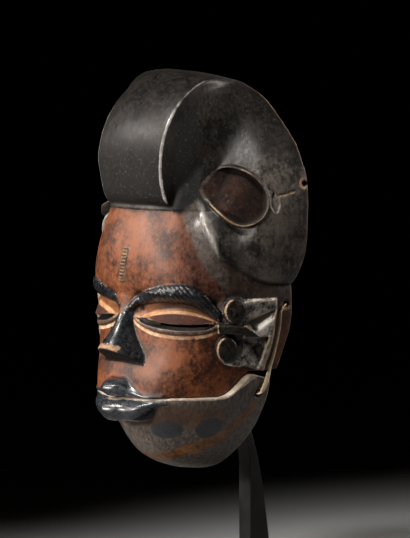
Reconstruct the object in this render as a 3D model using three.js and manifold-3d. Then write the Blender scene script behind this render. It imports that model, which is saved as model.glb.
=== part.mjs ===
// Carved wooden face mask with a hinged lower jaw, on a small steel stand.
// Millimetres. The mask looks along -y, +x is its own left, +z is up.
// The shape is written as fields: a function of a point that is negative inside the wood.
import * as THREE from 'three';
import { mergeVertices } from 'three/addons/utils/BufferGeometryUtils.js';
import Module from 'manifold-3d';

const wasm = await Module();
wasm.setup();

// Where the mask's own frame (z = 0 under the chin) sits over the middle of the foot
const HANG = { y: -8, z: 95 };

// Small maths
const { abs, min, max, sqrt, exp, cos, sin, hypot, PI } = Math;
const clamp = (v, a = 0, b = 1) => min(max(v, a), b);

function ease(v) {
  const t = clamp(v);
  return t * t * (3 - 2 * t);
}

function smin(a, b, k) {
  const h = max(k - abs(a - b), 0) / k;
  return min(a, b) - h * h * k * 0.25;
}

const smax = (a, b, k) => -smin(-a, -b, k);

// A smooth curve through [station, value] pairs
function through(pairs) {
  const t = pairs.map((p) => p[0]);
  const v = pairs.map((p) => p[1]);
  const last = t.length - 1;
  const slope = t.map((_, i) => {
    const a = max(i - 1, 0);
    const b = min(i + 1, last);
    return (v[b] - v[a]) / (t[b] - t[a]);
  });
  return (at) => {
    const x = clamp(at, t[0], t[last]);
    let i = 0;
    while (i < last - 1 && x > t[i + 1]) i += 1;
    const w = t[i + 1] - t[i];
    const s = (x - t[i]) / w;
    const s2 = s * s;
    const s3 = s2 * s;
    return (2 * s3 - 3 * s2 + 1) * v[i] + (s3 - 2 * s2 + s) * w * slope[i]
      + (3 * s2 - 2 * s3) * v[i + 1] + (s3 - s2) * w * slope[i + 1];
  };
}

// Named sizes
const REAR = 20;                 // flat back rim
const MOUTH = 51;                // height of the meeting line of the lips
const HINGE = { y: 0, z: 54 };   // the jaw's tie holes
const CREST = { y: 3, z: 197.5, r: 62, half: 31 };
const DISH = { s: 24.4, z: 179, a: 21.3, b: 16.6, turn: -0.415 };
const EYE = { mid: -11.75, half: 25.25, z: 97.9 };
const RIGHT = { brow: 0.4, eye: 0.6 };   // the right side is cut lower than the left

// Half width and front of the face by height
const halfWidth = through([[0, 30], [20, 48], [45, 56], [62, 60.5], [80, 66], [98, 70.5],
  [115, 71.5], [130, 69.5], [155, 62], [175, 55], [215, 45], [240, 35]]);
const front = through([[0, -40], [20, -58], [45, -64], [62, -63.5], [80, -58.5], [98, -57],
  [131, -60.5], [150, -58.5], [172, -51], [200, -42], [225, -25], [240, 0]]);
// Half width of the hair at the back rim by height
const hairHalf = through([[100, 74], [119, 77], [130, 79], [145, 85], [170, 87], [190, 86],
  [201, 81.5], [212, 75.5], [226, 62.5], [240, 46], [248, 31], [256, 8]]);
// Lower and front edge of the side curl, across the three-quarter view
const curlEdge = through([[-14, 188], [-8.6, 174.6], [-0.8, 155.7], [3.1, 146.1],
  [11.8, 131.5], [23.5, 123.4], [38.3, 119.9], [60, 118.5]]);
// Where the curl takes over from the sweep of hair: how far round the side it starts at each height
const curlStart = through([[150, -20], [160, -14], [170, 0], [178, 6], [186, 12], [192, 17],
  [198, 22], [206, 26], [215, 28], [240, 30]]);
const curlShare = (s, z) => ease(0.5 + (s - curlStart(z) - 3) / 34) * ease(0.5 + (204 - z) / 74);
// The curl's narrow front ridge
const ridgeLine = through([[-8, 196], [1.1, 177.6], [7.9, 158.1], [11.7, 151.5], [16.6, 142.8],
  [26, 133], [60, 128]]);
const jawHalf = through([[0, 20], [4, 27], [10, 33.5], [18, 40], [28, 47.5], [38, 54.5],
  [50, 61], [60, 64], [70, 65.5]]);
const jawFront = through([[0, -17.5], [4, -26.5], [8, -34], [12, -39.5], [18, -44.5],
  [24, -48], [33, -52.5], [42, -58.5], [50, -64], [70, -64.5]]);

// Distance across the three-quarter view of either side of the head
const sideOn = (x, y) => 0.643 * abs(x) + 0.766 * y;

// A rounded-square upright section, half width a, depth b forward of the line y = c
function section(x, y, a, b, n, m, c) {
  const u = abs(x) / a;
  const v = max(c - y, 0) / b;
  const g = max(u ** n + v ** m, 1e-6);
  const r = hypot(x, y - c);
  return r * (1 - g ** (-2 / (n + m)));
}

// Height of the line where the jaw meets the mask; it climbs to the hinge at the back
const parting = (y) => MOUTH + 2 * ease((y + 75) / 30) + 15 * ease((y + 27) / 23) ** 1.4;

// Face
const browLine = through([[-47, 103], [-41, 109], [-34, 114], [-24, 117.3], [-12, 118.6],
  [-3, 117.5], [4, 114], [9, 110], [15, 104.5]]);
const browHalf = through([[-46, 1.8], [-39, 2.9], [-27, 4.8], [-12, 5.7], [-2, 5.9], [8, 5.7],
  [15, 3.6]]);

function brow(s, z) {
  const t = (z - browLine(s)) / browHalf(s);
  const ends = ease((s + 46) / 4) * ease((17.5 - s) / 4);
  return (2 + 1.3 * ease((s + 40) / 25)) * max(1 - t * t, 0) ** 0.55 * ends;
}

function eyeLines(s) {
  const e = (s - EYE.mid) / EYE.half;
  const slit = EYE.z + 2.6 * e * e - 1.15 * e;
  const top = slit + 10 * max(1 - ((e - 0.08) / 0.98) ** 2, 0);
  const low = slit - 5.7 * max(1 - 0.5 * e ** 4, 0);
  return { e, slit, top, low };
}

// Height of the closed eye over the face: hollow under the brow, lid, and lower lid
function eye(s, z) {
  const { e, slit, top, low } = eyeLines(s);
  const inside = max(1 - e * e, 0);
  const hollow = 3.2 * ease((z - slit + 3) / 10) * ease((slit + 20 - z) / 7)
    * ease((s + 42) / 8) * ease((20 - s) / 8);
  if (z <= slit) {
    return 2 * ease((z - low) / 1.2) * ease((1.09 - abs(e)) / 0.1) - hollow;
  }
  const up = clamp((z - slit) / max(top - slit, 0.5));
  const rim = 1.6 * ease((top + 0.8 - z) / 1.6);
  const ball = 3.4 * inside * sqrt(clamp(1 - (up / 0.8) ** 2));
  return (rim + ball) * ease(inside * 5) - hollow;
}

const earFront = through([[66, 34], [70, 31], [74, 18], [84, 13.5], [92, 17], [98, 19],
  [104, 17], [112, 19], [116, 30]]);
const earBack = through([[66, 43], [72, 44.5], [81, 47.5], [92, 50], [107, 51.5], [116, 51.5]]);
const earInner = through([[66, 37], [72, 39.5], [81, 42.5], [91, 45.5], [107, 50], [116, 51]]);

// Height of the carved ear over the side of the face: a plate of sunk triangles,
// a bar and wedge across it, a rim behind and two round bosses in front
function ear(s, z) {
  const low = z - (71.5 - 0.33 * max(s - 31, 0));
  const edge = min(s - earFront(z), earBack(z) - s, 115 - z, low);
  if (edge < -12) return 0;
  const groove = 101 + 0.41 * (s - 33.7);
  let h;
  if (z > groove) h = 4 - 2.4 * clamp((114.5 - z) / (114.5 - groove));
  else if (z > 91 - 0.1 * (s - 40)) h = max(7 * clamp((groove - 0.6 - z + 0.3 * (s - 36)) / 9) - 2.6, 0.4);
  else h = 4.4 * clamp((91 - 0.2 * (s - 33) - z) / 17) - 0.6;
  const rim = ease((s - earInner(z)) / 1.4);
  h = h * (1 - rim) + 5 * rim;
  const wt = clamp((s - 32) / 8.5);
  const across = (1 - wt) * 4.2 - abs(z - 95 + 4.5 * wt);
  const wedge = s > 30 && s < 40.8 ? ease(across / 1.6 + 0.5) : 0;
  h = h * (1 - wedge) + (5.8 - 2 * wt) * wedge;
  h *= ease(edge / 1.4);
  const bar = ease((3.6 - abs(z - 96.4 + 0.07 * (s - 20))) / 1.2)
    * ease((s - 13.2) / 1.2) * ease((33.5 - s) / 1.2);
  h = h * (1 - bar) + 6 * bar;
  for (const [ks, kz, rs, rz] of [[25, 108.2, 7.4, 8.8], [19.9, 83.6, 7.2, 9.2]]) {
    const r = hypot((s - ks) / rs, (z - kz) / rz);
    const k = ease((1 - r) / 0.18);
    h = h * (1 - k) + (6.8 - 0.8 * r * r) * k;
  }
  return h;
}

// How far the lips fall back from the middle of the mouth
const lipBack = through([[0, 0], [5, 2.5], [10, 6], [15, 8.2], [20, 9.1], [25, 11.1], [33, 16.5],
  [60, 40]]);

// A lip: a roll that keeps its full height for a way and then thins toward the corner of the mouth
function lip(x, y, z, line, r, half, yc, ry, up, full, fade) {
  const ax = abs(x);
  const taper = 0.16 + 0.84 * (1 - ease((ax - full) / fade));
  const rz = r * taper;
  const ey = (y - (yc + lipBack(ax))) / (ry * (0.35 + 0.65 * taper));
  const ez = (z - line - up * rz) / rz;
  return max((hypot(ey, ez) - 1) * rz, ax - half);
}

const noseHalf = through([[68, 22], [78, 20.5], [86, 15], [96, 9], [104, 8.5], [116, 10]]);
const noseRise = through([[62, 11], [70, 16], [78, 19.5], [84, 18.5], [95, 10.5], [104, 5],
  [112, 1.5], [118, 0]]);

function nose(x, y, z) {
  const ax = abs(x);
  const rise = noseRise(z);
  const half = noseHalf(z);
  const face = front(z) - rise + (rise + 6) * clamp(ax / half) ** 2.4;
  let d = max((face - y) * 0.6, ax - half - 4);
  d = smax(d, (74 - 0.5 * (y + 60) - z) * 0.88, 1.6);
  d = smax(d, z - 116, 3);
  return max(d, y + 45);
}

// A narrow raised tablet of cuts in the middle of the forehead
function tablet(x, z) {
  const across = 3 - abs(x - 1.2 - (z - 134) * 0.2);
  return ease(across / 0.8) * ease((146 - z) / 1.5) * ease((z - 123.5) / 1.5);
}

function face(x, y, z) {
  const s = sideOn(x, y);
  let d = section(x, y, halfWidth(z), REAR - front(z), 2.75, 2, REAR);
  const hairline = 0.9 * ease((z - 169.5) / 1.2);
  d -= eye(s, z) * (x < 0 ? RIGHT.eye : 1) + brow(s, z) * (x < 0 ? RIGHT.brow : 1) + (y < -40 ? tablet(x, z) : 0) + hairline;
  d = smin(d, nose(x, y, z), 2);
  return smin(d, lip(x, y, z, MOUTH + 0.6, 5.5, 33, -66.6, 9.6, 1, 5, 21), 3);
}

// Hair
// Limit of the hair above, falling away to the back; the carver left its right edge fuller
function crown(x, y, z, extra) {
  const lift = clamp(-x / CREST.half) * (1.8 * ease((z - 185) / 20) + 3.2 * ease((z - 243) / 14));
  const sink = 4.5 * (abs(x) / CREST.half) ** 2 + extra - lift;
  const disc = hypot(y - CREST.y, z - CREST.z) - CREST.r + sink;
  const roof = (z - 258.8 + 0.2 * (y + 13) + sink) * 0.97;
  return smax(disc, roof, 5);
}

function crest(x, y, z) {
  const d = smax(crown(x, y, z, 0), 169 - z, 12);
  return smax(d, abs(x) - CREST.half, 1.6 + 6 * clamp((y + 25) / 30));
}

// Hollow sides that sweep out from the crest to the back rim
function sweep(x, y, z) {
  const full = hairHalf(z);
  const t = clamp((y + 38) / 58);
  const base = min(full, CREST.half - 1);
  let d = (abs(x) - base - (full - base) * t ** 1.6) * 0.75;
  d = smax(d, crown(min(abs(x), 45), y, z, 0.4 * (1 - t)), 4);
  return smax(d, 150 + 23 * ease((46 - abs(x)) / 8) - z, 9);
}

function curlBody(x, y, z) {
  const wide = hairHalf(z) - 20;
  const ax = max(abs(x) - 20, 0);
  const q = hypot(ax / wide, (REAR - y) / (0.924 * wide)) + 1e-6;
  const drawnIn = 11 * ease((z - 152) / 32) * ease((16 - sideOn(x, y)) / 22);
  return hypot(ax, y - REAR) * (1 - 1 / q) + drawnIn;
}

// Outline of the scooped dish, negative inside
function dishEdge(s, z) {
  const c = cos(DISH.turn);
  const q = sin(DISH.turn);
  const ds = s - DISH.s;
  const dz = z - DISH.z;
  const r = hypot((ds * c + dz * q) / DISH.a, (dz * c - ds * q) / DISH.b) + 1e-6;
  const oval = (1 - 1 / r) * hypot(ds, dz);
  const under = -(z - 180.4 + 0.872 * (s - 3)) * 0.754;
  const over = (z - 182.4 - 0.95 * (s - 1)) * 0.725;
  return smax(smax(oval, under, 5), over, 1.5);
}

// The side curl: a full round form over the temple, its edge lapping the forehead
function curl(x, y, z) {
  const s = sideOn(x, y);
  const slope = (curlEdge(s + 0.7) - curlEdge(s - 0.7)) / 1.4;
  const e = (z - curlEdge(s)) / sqrt(1 + slope * slope);
  const lap = 2.5 - 4.5 * ease((22 - s) / 12);
  const d = smax(curlBody(x, y, z), lap - e * 0.95, 8 + 7 * ease((s - 8) / 14));
  // a cove between the dish and the narrow ridge at the front of the curl
  const t = dishEdge(s, z);
  const lowSide = ease(0.5 - (z - 178 - 0.95 * (s - 6)) / 10);
  const scoop = max(1 - max(t - 1.6, 0) / 13, 0) ** 1.5 * ease((t - 0.8) / 1.6);
  const cove = scoop * lowSide * ease(0.5 - (s - 34) / 14) * ease((e - 4) / 4);
  const ridge = exp(-((((z - ridgeLine(s)) * 0.5) / 2.2) ** 2)) * ease((24 - s) / 14);
  return d + 7.5 * cove - 2 * ridge * ease((t - 2) / 3);
}

// The curls and the sweep above them as one smooth skin, dished, with the crest over it
function hair(x, y, z) {
  const s = sideOn(x, y);
  const w = curlShare(s, z);
  let d = curl(x, y, z) * w + sweep(x, y, z) * (1 - w);
  const t = dishEdge(s, z);
  const dish = smax(t, -(d + 3 + 11 * clamp((s - 4) / 38)), 4);
  // the raised rim of the dish
  d -= 1.3 * exp(-(((t - 0.5) / 1.3) ** 2)) * ease((s + 6) / 8);
  d = smax(d, -dish, 1);
  return smin(d, crest(x, y, z), 1.2 + 16 * ease((-crown(x, y, z, 0) - 7) / 14));
}

// Whole mask
function hollow(x, y, z) {
  const d = section(x, y, halfWidth(z) - 9, REAR - 13 - front(z), 2.4, 2, REAR);
  return smax(d, z - 214, 30);
}

function mask(x, y, z) {
  const s = sideOn(x, y);
  let d = smax(face(x, y, z), z - 215, 6);
  if (z < 125) d -= ear(s, z);
  if (z > 100) {
    const soft = 1 + 6 * ease((186 - z) / 8) * ease((22 - s) / 12) * ease((abs(x) - CREST.half) / 4);
    d = smin(d, hair(x, y, z), soft);
  }
  d = smax(d, y - REAR + 0.17 * max(94 - z, 0), 2);
  d = smax(d, -hollow(x, y, z), 2);
  const { e, slit } = eyeLines(s);
  const open = 1.75 * min(max(1 - e * e, 0) * 2.2, 1);
  const cut = max(abs(z - slit + 0.2) - open, (abs(e) - 0.93) * 20, y);
  d = smax(d, -cut, 0.5);
  return smax(d, parting(y) + 0.3 - z, 0.8);
}

// Jaw
function jawShell(x, y, z, grow) {
  return section(x, y, jawHalf(z) + grow, 12 - jawFront(z) + grow, 2.3, 2.1, 12);
}

function jaw(x, y, z) {
  let d = smax(jawShell(x, y, z, 0), 0.6 - z, 6);
  d = smin(d, lip(x, y, z, MOUTH - 0.6, 7.2, 35, -66.6, 10.5, -1, 14, 19), 2);
  const inner = smax(jawShell(x, y, z, -6), 7 - z, 6);
  d = smax(d, -inner, 1.5);
  // the upright ends fall away behind so that they clear the mask as the jaw drops
  d = smax(d, z - parting(y) + 0.4 + 0.3 * max(y + 8, 0), 0.8);
  return smax(d, y - 9 + 0.012 * max(34 - z, 0) ** 2, 3);
}

// From a field to a closed mesh
// One vertex in each cell the surface crosses, one quad across each crossed grid edge
function skin(field, low, high, step) {
  const n = [0, 1, 2].map((i) => Math.ceil((high[i] - low[i]) / step) + 1);
  const at = (i, j, k) => i + n[0] * (j + n[1] * k);
  const value = new Float32Array(n[0] * n[1] * n[2]);
  for (let k = 0; k < n[2]; k += 1) {
    for (let j = 0; j < n[1]; j += 1) {
      for (let i = 0; i < n[0]; i += 1) {
        const v = field(low[0] + i * step, low[1] + j * step, low[2] + k * step);
        value[at(i, j, k)] = v === 0 ? 1e-4 : v;
      }
    }
  }
  settle(value, n, at);
  const cell = new Int32Array(value.length).fill(-1);
  const points = [];
  for (let k = 0; k < n[2] - 1; k += 1) {
    for (let j = 0; j < n[1] - 1; j += 1) {
      for (let i = 0; i < n[0] - 1; i += 1) {
        const p = crossing(value, at, i, j, k);
        if (p) {
          cell[at(i, j, k)] = points.length / 3;
          points.push(low[0] + (i + p[0]) * step, low[1] + (j + p[1]) * step, low[2] + (k + p[2]) * step);
        }
      }
    }
  }
  const tris = [];
  const stride = [1, n[0], n[0] * n[1]];
  for (let k = 1; k < n[2] - 1; k += 1) {
    for (let j = 1; j < n[1] - 1; j += 1) {
      for (let i = 1; i < n[0] - 1; i += 1) {
        const here = at(i, j, k);
        for (let a = 0; a < 3; a += 1) {
          const inA = value[here] < 0;
          if (inA !== value[here + stride[a]] < 0) {
            const u = stride[(a + 1) % 3];
            const w = stride[(a + 2) % 3];
            const q = [here - u - w, here - w, here, here - u].map((c) => cell[c]);
            if (!inA) q.reverse();
            tris.push(q[0], q[1], q[2], q[0], q[2], q[3]);
          }
        }
      }
    }
  }
  return { points: Float64Array.from(points), tris: Uint32Array.from(tris) };
}

// Average of the points where the surface crosses the twelve edges of a cell
function crossing(value, at, i, j, k) {
  const v = [];
  let signs = 0;
  for (let c = 0; c < 8; c += 1) {
    const q = value[at(i + (c & 1), j + ((c >> 1) & 1), k + (c >> 2))];
    v.push(q);
    if (q < 0) signs += 1;
  }
  if (signs === 0 || signs === 8) return null;
  const sum = [0, 0, 0];
  let count = 0;
  for (let c = 0; c < 8; c += 1) {
    for (let a = 0; a < 3; a += 1) {
      const o = c | (1 << a);
      if (o !== c && v[c] < 0 !== v[o] < 0) {
        const t = v[c] / (v[c] - v[o]);
        for (let b = 0; b < 3; b += 1) sum[b] += b === a ? t : (c >> b) & 1;
        count += 1;
      }
    }
  }
  return sum.map((q) => q / count);
}

// Clears the corner-to-corner contacts that would pinch the surface
function settle(value, n, at) {
  const stride = [1, n[0], n[0] * n[1]];
  for (let pass = 0, changed = true; changed && pass < 20; pass += 1) {
    changed = false;
    for (let k = 0; k < n[2] - 1; k += 1) {
      for (let j = 0; j < n[1] - 1; j += 1) {
        for (let i = 0; i < n[0] - 1; i += 1) {
          const here = at(i, j, k);
          for (let a = 0; a < 3; a += 1) {
            const u = stride[a];
            const w = stride[(a + 1) % 3];
            const f = [here, here + u, here + u + w, here + w];
            const g = f.map((c) => value[c] < 0);
            if (g[0] === g[2] && g[1] === g[3] && g[0] !== g[1]) {
              const weak = f.reduce((p, c) => (abs(value[c]) < abs(value[p]) ? c : p));
              value[weak] = value[weak] < 0 ? 0.02 : -0.02;
              changed = true;
            }
          }
        }
      }
    }
  }
}

// Fewer triangles: edges whose loss moves the surface least go first
class Heap {
  constructor() {
    this.items = [];
  }

  push(item) {
    const a = this.items;
    let i = a.length;
    a.push(item);
    while (i > 0) {
      const p = (i - 1) >> 1;
      if (a[p].cost <= item.cost) break;
      a[i] = a[p];
      i = p;
    }
    a[i] = item;
  }

  pop() {
    const a = this.items;
    const best = a[0];
    const item = a.pop();
    if (!a.length) return best;
    let i = 0;
    for (;;) {
      let c = 2 * i + 1;
      if (c >= a.length) break;
      if (c + 1 < a.length && a[c + 1].cost < a[c].cost) c += 1;
      if (item.cost <= a[c].cost) break;
      a[i] = a[c];
      i = c;
    }
    a[i] = item;
    return best;
  }
}

function thin(mesh, target) {
  const P = mesh.points;
  const T = mesh.tris;
  const count = P.length / 3;
  const Q = new Float64Array(count * 10);
  const fans = Array.from({ length: count }, () => []);
  const alive = new Uint8Array(T.length / 3).fill(1);
  const stamp = new Uint32Array(count);
  const normal = (a, b, c) => {
    const ux = P[3 * b] - P[3 * a];
    const uy = P[3 * b + 1] - P[3 * a + 1];
    const uz = P[3 * b + 2] - P[3 * a + 2];
    const vx = P[3 * c] - P[3 * a];
    const vy = P[3 * c + 1] - P[3 * a + 1];
    const vz = P[3 * c + 2] - P[3 * a + 2];
    return [uy * vz - uz * vy, uz * vx - ux * vz, ux * vy - uy * vx];
  };
  for (let t = 0; t < alive.length; t += 1) {
    const [a, b, c] = [T[3 * t], T[3 * t + 1], T[3 * t + 2]];
    const nn = normal(a, b, c);
    const len = hypot(...nn);
    for (const v of [a, b, c]) fans[v].push(t);
    if (len > 1e-12) {
      const [x, y, z] = nn.map((q) => q / len);
      const d = -(x * P[3 * a] + y * P[3 * a + 1] + z * P[3 * a + 2]);
      const quad = [x * x, x * y, x * z, x * d, y * y, y * z, y * d, z * z, z * d, d * d];
      for (const v of [a, b, c]) {
        for (let i = 0; i < 10; i += 1) Q[10 * v + i] += quad[i] * len;
      }
    }
  }
  const error = (a, b, p) => {
    const q = (i) => Q[10 * a + i] + Q[10 * b + i];
    const [x, y, z] = p;
    return q(0) * x * x + 2 * q(1) * x * y + 2 * q(2) * x * z + 2 * q(3) * x + q(4) * y * y
      + 2 * q(5) * y * z + 2 * q(6) * y + q(7) * z * z + 2 * q(8) * z + q(9);
  };
  const best = (a, b) => {
    const q = (i) => Q[10 * a + i] + Q[10 * b + i];
    const [m00, m01, m02, m11, m12, m22] = [q(0), q(1), q(2), q(4), q(5), q(7)];
    const [r0, r1, r2] = [-q(3), -q(6), -q(8)];
    const det = m00 * (m11 * m22 - m12 * m12) - m01 * (m01 * m22 - m12 * m02) + m02 * (m01 * m12 - m11 * m02);
    const pa = [P[3 * a], P[3 * a + 1], P[3 * a + 2]];
    const pb = [P[3 * b], P[3 * b + 1], P[3 * b + 2]];
    const mid = pa.map((v, i) => (v + pb[i]) / 2);
    const reach = hypot(pa[0] - pb[0], pa[1] - pb[1], pa[2] - pb[2]);
    const options = [mid, pa, pb];
    const scale = (m00 + m11 + m22) / 3;
    if (abs(det) > 1e-4 * scale ** 3) {
      const x = (r0 * (m11 * m22 - m12 * m12) - m01 * (r1 * m22 - m12 * r2) + m02 * (r1 * m12 - m11 * r2)) / det;
      const y = (m00 * (r1 * m22 - m12 * r2) - r0 * (m01 * m22 - m12 * m02) + m02 * (m01 * r2 - r1 * m02)) / det;
      const z = (m00 * (m11 * r2 - r1 * m12) - m01 * (m01 * r2 - r1 * m02) + r0 * (m01 * m12 - m11 * m02)) / det;
      if (hypot(x - mid[0], y - mid[1], z - mid[2]) < reach * 1.2) options.unshift([x, y, z]);
    }
    let pick = null;
    for (const p of options) {
      const cost = error(a, b, p);
      if (!pick || cost < pick.cost - 1e-12) pick = { cost, p };
    }
    return { a, b, p: pick.p, cost: max(pick.cost, 0) + 1e-7 * reach, sa: stamp[a], sb: stamp[b] };
  };
  const heap = new Heap();
  for (let t = 0; t < alive.length; t += 1) {
    for (let i = 0; i < 3; i += 1) {
      const a = T[3 * t + i];
      const b = T[3 * t + ((i + 1) % 3)];
      if (a < b) heap.push(best(a, b));
    }
  }
  const ring = (v) => {
    const out = new Set();
    for (const t of fans[v]) {
      for (let i = 0; i < 3; i += 1) if (T[3 * t + i] !== v) out.add(T[3 * t + i]);
    }
    return out;
  };
  const flips = (v, other, p) => {
    for (const t of fans[v]) {
      const tri = [T[3 * t], T[3 * t + 1], T[3 * t + 2]];
      if (!tri.includes(other)) {
        const before = normal(...tri);
        const old = [P[3 * v], P[3 * v + 1], P[3 * v + 2]];
        P.set(p, 3 * v);
        const after = normal(...tri);
        P.set(old, 3 * v);
        const dot = before[0] * after[0] + before[1] * after[1] + before[2] * after[2];
        const la = hypot(...after);
        if (dot < 0.35 * hypot(...before) * la || la < 0.02) return true;
        let longest = 0;
        for (let i = 0; i < 3; i += 1) {
          const g = tri[i] === v ? p : [P[3 * tri[i]], P[3 * tri[i] + 1], P[3 * tri[i] + 2]];
          const u = tri[(i + 1) % 3];
          const h = u === v ? p : [P[3 * u], P[3 * u + 1], P[3 * u + 2]];
          longest = max(longest, hypot(g[0] - h[0], g[1] - h[1], g[2] - h[2]));
        }
        if (la / longest < 0.12 * 2 || longest > 34) return true;
      }
    }
    return false;
  };
  let left = alive.length;
  while (left > target && heap.items.length) {
    const { a, b, p, sa, sb } = heap.pop();
    if (stamp[a] === sa && stamp[b] === sb && fans[a].length && fans[b].length) {
      const shared = fans[a].filter((t) => fans[b].includes(t));
      const ra = ring(a);
      let common = 0;
      for (const v of ring(b)) if (ra.has(v)) common += 1;
      if (shared.length === 2 && common === 2 && !flips(a, b, p) && !flips(b, a, p)) {
        P.set(p, 3 * a);
        for (let i = 0; i < 10; i += 1) Q[10 * a + i] += Q[10 * b + i];
        for (const t of shared) {
          alive[t] = 0;
          left -= 1;
          for (let i = 0; i < 3; i += 1) {
            const v = T[3 * t + i];
            fans[v] = fans[v].filter((q) => q !== t);
          }
        }
        for (const t of fans[b]) {
          for (let i = 0; i < 3; i += 1) if (T[3 * t + i] === b) T[3 * t + i] = a;
          fans[a].push(t);
        }
        fans[b] = [];
        stamp[a] += 1;
        stamp[b] += 1;
        for (const v of ring(a)) heap.push(best(a, v));
      }
    }
  }
  const index = new Map();
  const points = [];
  const tris = [];
  for (let t = 0; t < alive.length; t += 1) {
    if (alive[t]) {
      for (let i = 0; i < 3; i += 1) {
        const v = T[3 * t + i];
        if (!index.has(v)) {
          index.set(v, points.length / 3);
          points.push(P[3 * v], P[3 * v + 1], P[3 * v + 2]);
        }
        tris.push(index.get(v));
      }
    }
  }
  return { points: Float64Array.from(points), tris: Uint32Array.from(tris) };
}

// Plain solids
// A bar of flat rings, each a list of corners in the same order
function loft(rings) {
  const points = rings.flat(2);
  const n = rings[0].length;
  const last = n * (rings.length - 1);
  const tris = [];
  for (let i = 0; i < rings.length - 1; i += 1) {
    for (let j = 0; j < n; j += 1) {
      const a = n * i + j;
      const b = n * i + ((j + 1) % n);
      tris.push(a, b, b + n, a, b + n, a + n);
    }
  }
  for (let j = 1; j < n - 1; j += 1) {
    tris.push(0, j + 1, j);
    tris.push(last, last + j, last + j + 1);
  }
  return { points: Float64Array.from(points), tris: Uint32Array.from(tris) };
}

// A rod between two points
function rod(from, to, radius) {
  const a = new THREE.Vector3(...from);
  const b = new THREE.Vector3(...to);
  const geometry = new THREE.CylinderGeometry(radius, radius, a.distanceTo(b), 16);
  const turn = new THREE.Quaternion().setFromUnitVectors(
    new THREE.Vector3(0, 1, 0),
    b.clone().sub(a).normalize(),
  );
  geometry.applyQuaternion(turn);
  const mid = a.add(b).multiplyScalar(0.5);
  return geometry.translate(mid.x, mid.y, mid.z);
}

// Joins and cuts
function solid(shape) {
  if (!shape.isBufferGeometry) {
    return new wasm.Manifold(new wasm.Mesh({
      numProp: 3,
      vertProperties: Float32Array.from(shape.points),
      triVerts: Uint32Array.from(shape.tris),
    }));
  }
  const bare = shape.clone();
  bare.deleteAttribute('normal');
  bare.deleteAttribute('uv');
  const merged = mergeVertices(bare, 1e-4);
  return solid({ points: merged.attributes.position.array, tris: merged.index.array });
}

const finish = {
  carved_wood: { color: 0x4a3527, roughness: 0.55, metalness: 0 },
  jaw_wood: { color: 0x4b4846, roughness: 0.6, metalness: 0 },
  split_cane: { color: 0xc9b48c, roughness: 0.6, metalness: 0 },
  black_steel: { color: 0x17181a, roughness: 0.45, metalness: 0 },
};

function piece(name, shape, slot) {
  const { vertProperties, triVerts, numProp } = shape.getMesh();
  const count = vertProperties.length / numProp;
  const position = new THREE.BufferAttribute(new Float32Array(count * 3), 3);
  for (let i = 0; i < count; i += 1) {
    const [x, y, z] = vertProperties.slice(numProp * i, numProp * i + 3);
    position.setXYZ(i, x, y, z);
  }
  const geometry = new THREE.BufferGeometry();
  geometry.setAttribute('position', position);
  geometry.setIndex(Array.from(triVerts));
  geometry.computeVertexNormals();
  const mesh = new THREE.Mesh(geometry, new THREE.MeshStandardMaterial(finish[slot]));
  mesh.material.name = slot;
  mesh.name = name;
  return mesh;
}

// The object
const object = new THREE.Group();
object.name = 'elu_mask';
const mounted = new THREE.Group();
mounted.position.set(0, HANG.y, HANG.z);
object.add(mounted);

// Mask: the carved head, with its small holes bored through the back rim
const step = 1.4;
let head = solid(thin(skin(mask, [-92, -84, 46], [92, 24, 264], step), 6900));
for (const side of [-1, 1]) {
  head = head.subtract(solid(rod([side * 84, 16, 110.5], [side * 52, 13, 110.5], 2)));
  head = head.subtract(solid(rod([side * 96, 13, 187], [side * 64, 26, 187], 1.8)));
}
mounted.add(piece('mask', head, 'carved_wood'));

// Jaw: a carved trough, with a tie hole through each upright end
let chin = solid(thin(skin(jaw, [-70, -84, -4], [70, 14, 72], step), 1700));
for (const side of [-1, 1]) {
  chin = chin.subtract(solid(rod([side * 74, HINGE.y, HINGE.z], [side * 48, HINGE.y, HINGE.z], 2.6)));
}
mounted.add(piece('jaw', chin, 'jaw_wood'));

// Jaw ties: a strip of split cane down each side from behind the ear, its end in the jaw's hole
function outside(y, z) {
  let x = 92;
  while (x > 40 && min(mask(x, y, z), z < 72 ? jaw(x, y, z) : 9) > 0.05) x -= 0.1;
  return x;
}

const tieY = through([[HINGE.z, HINGE.y], [60, 3.4], [68, 6.8], [76, 8.3], [88, 9.2], [98, 9.8]]);
const TIE = { wide: 3.4, thick: 1.5, gap: 0.5, low: HINGE.z - 1.6, high: 97 };
for (const side of [-1, 1]) {
  const rings = [];
  for (let z = TIE.low; z < TIE.high + 1; z += (TIE.high - TIE.low) / 12) {
    const y = tieY(z);
    let x = 0;
    for (const dz of [-2, 0, 2]) x = max(x, outside(y + dz * 0.3, max(z + dz, 50)));
    x += TIE.gap;
    const half = (TIE.wide / 2) * (z > 90 ? 0.7 : 1);
    const ring = [[x, y - half], [x + TIE.thick, y - half], [x + TIE.thick, y + half], [x, y + half]];
    rings.push(ring.map(([a, b]) => [side * a, b, z]));
  }
  if (side < 0) rings.forEach((r) => r.reverse());
  const tip = rings[1][1][0];
  let tie = solid(loft(rings));
  const inner = side * 56;
  tie = tie.add(solid(rod([tip - side * 0.6, HINGE.y, HINGE.z], [inner, HINGE.y, HINGE.z], 1.7)));
  mounted.add(piece(side > 0 ? 'jaw_tie_left' : 'jaw_tie_right', tie, 'split_cane'));
}

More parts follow.
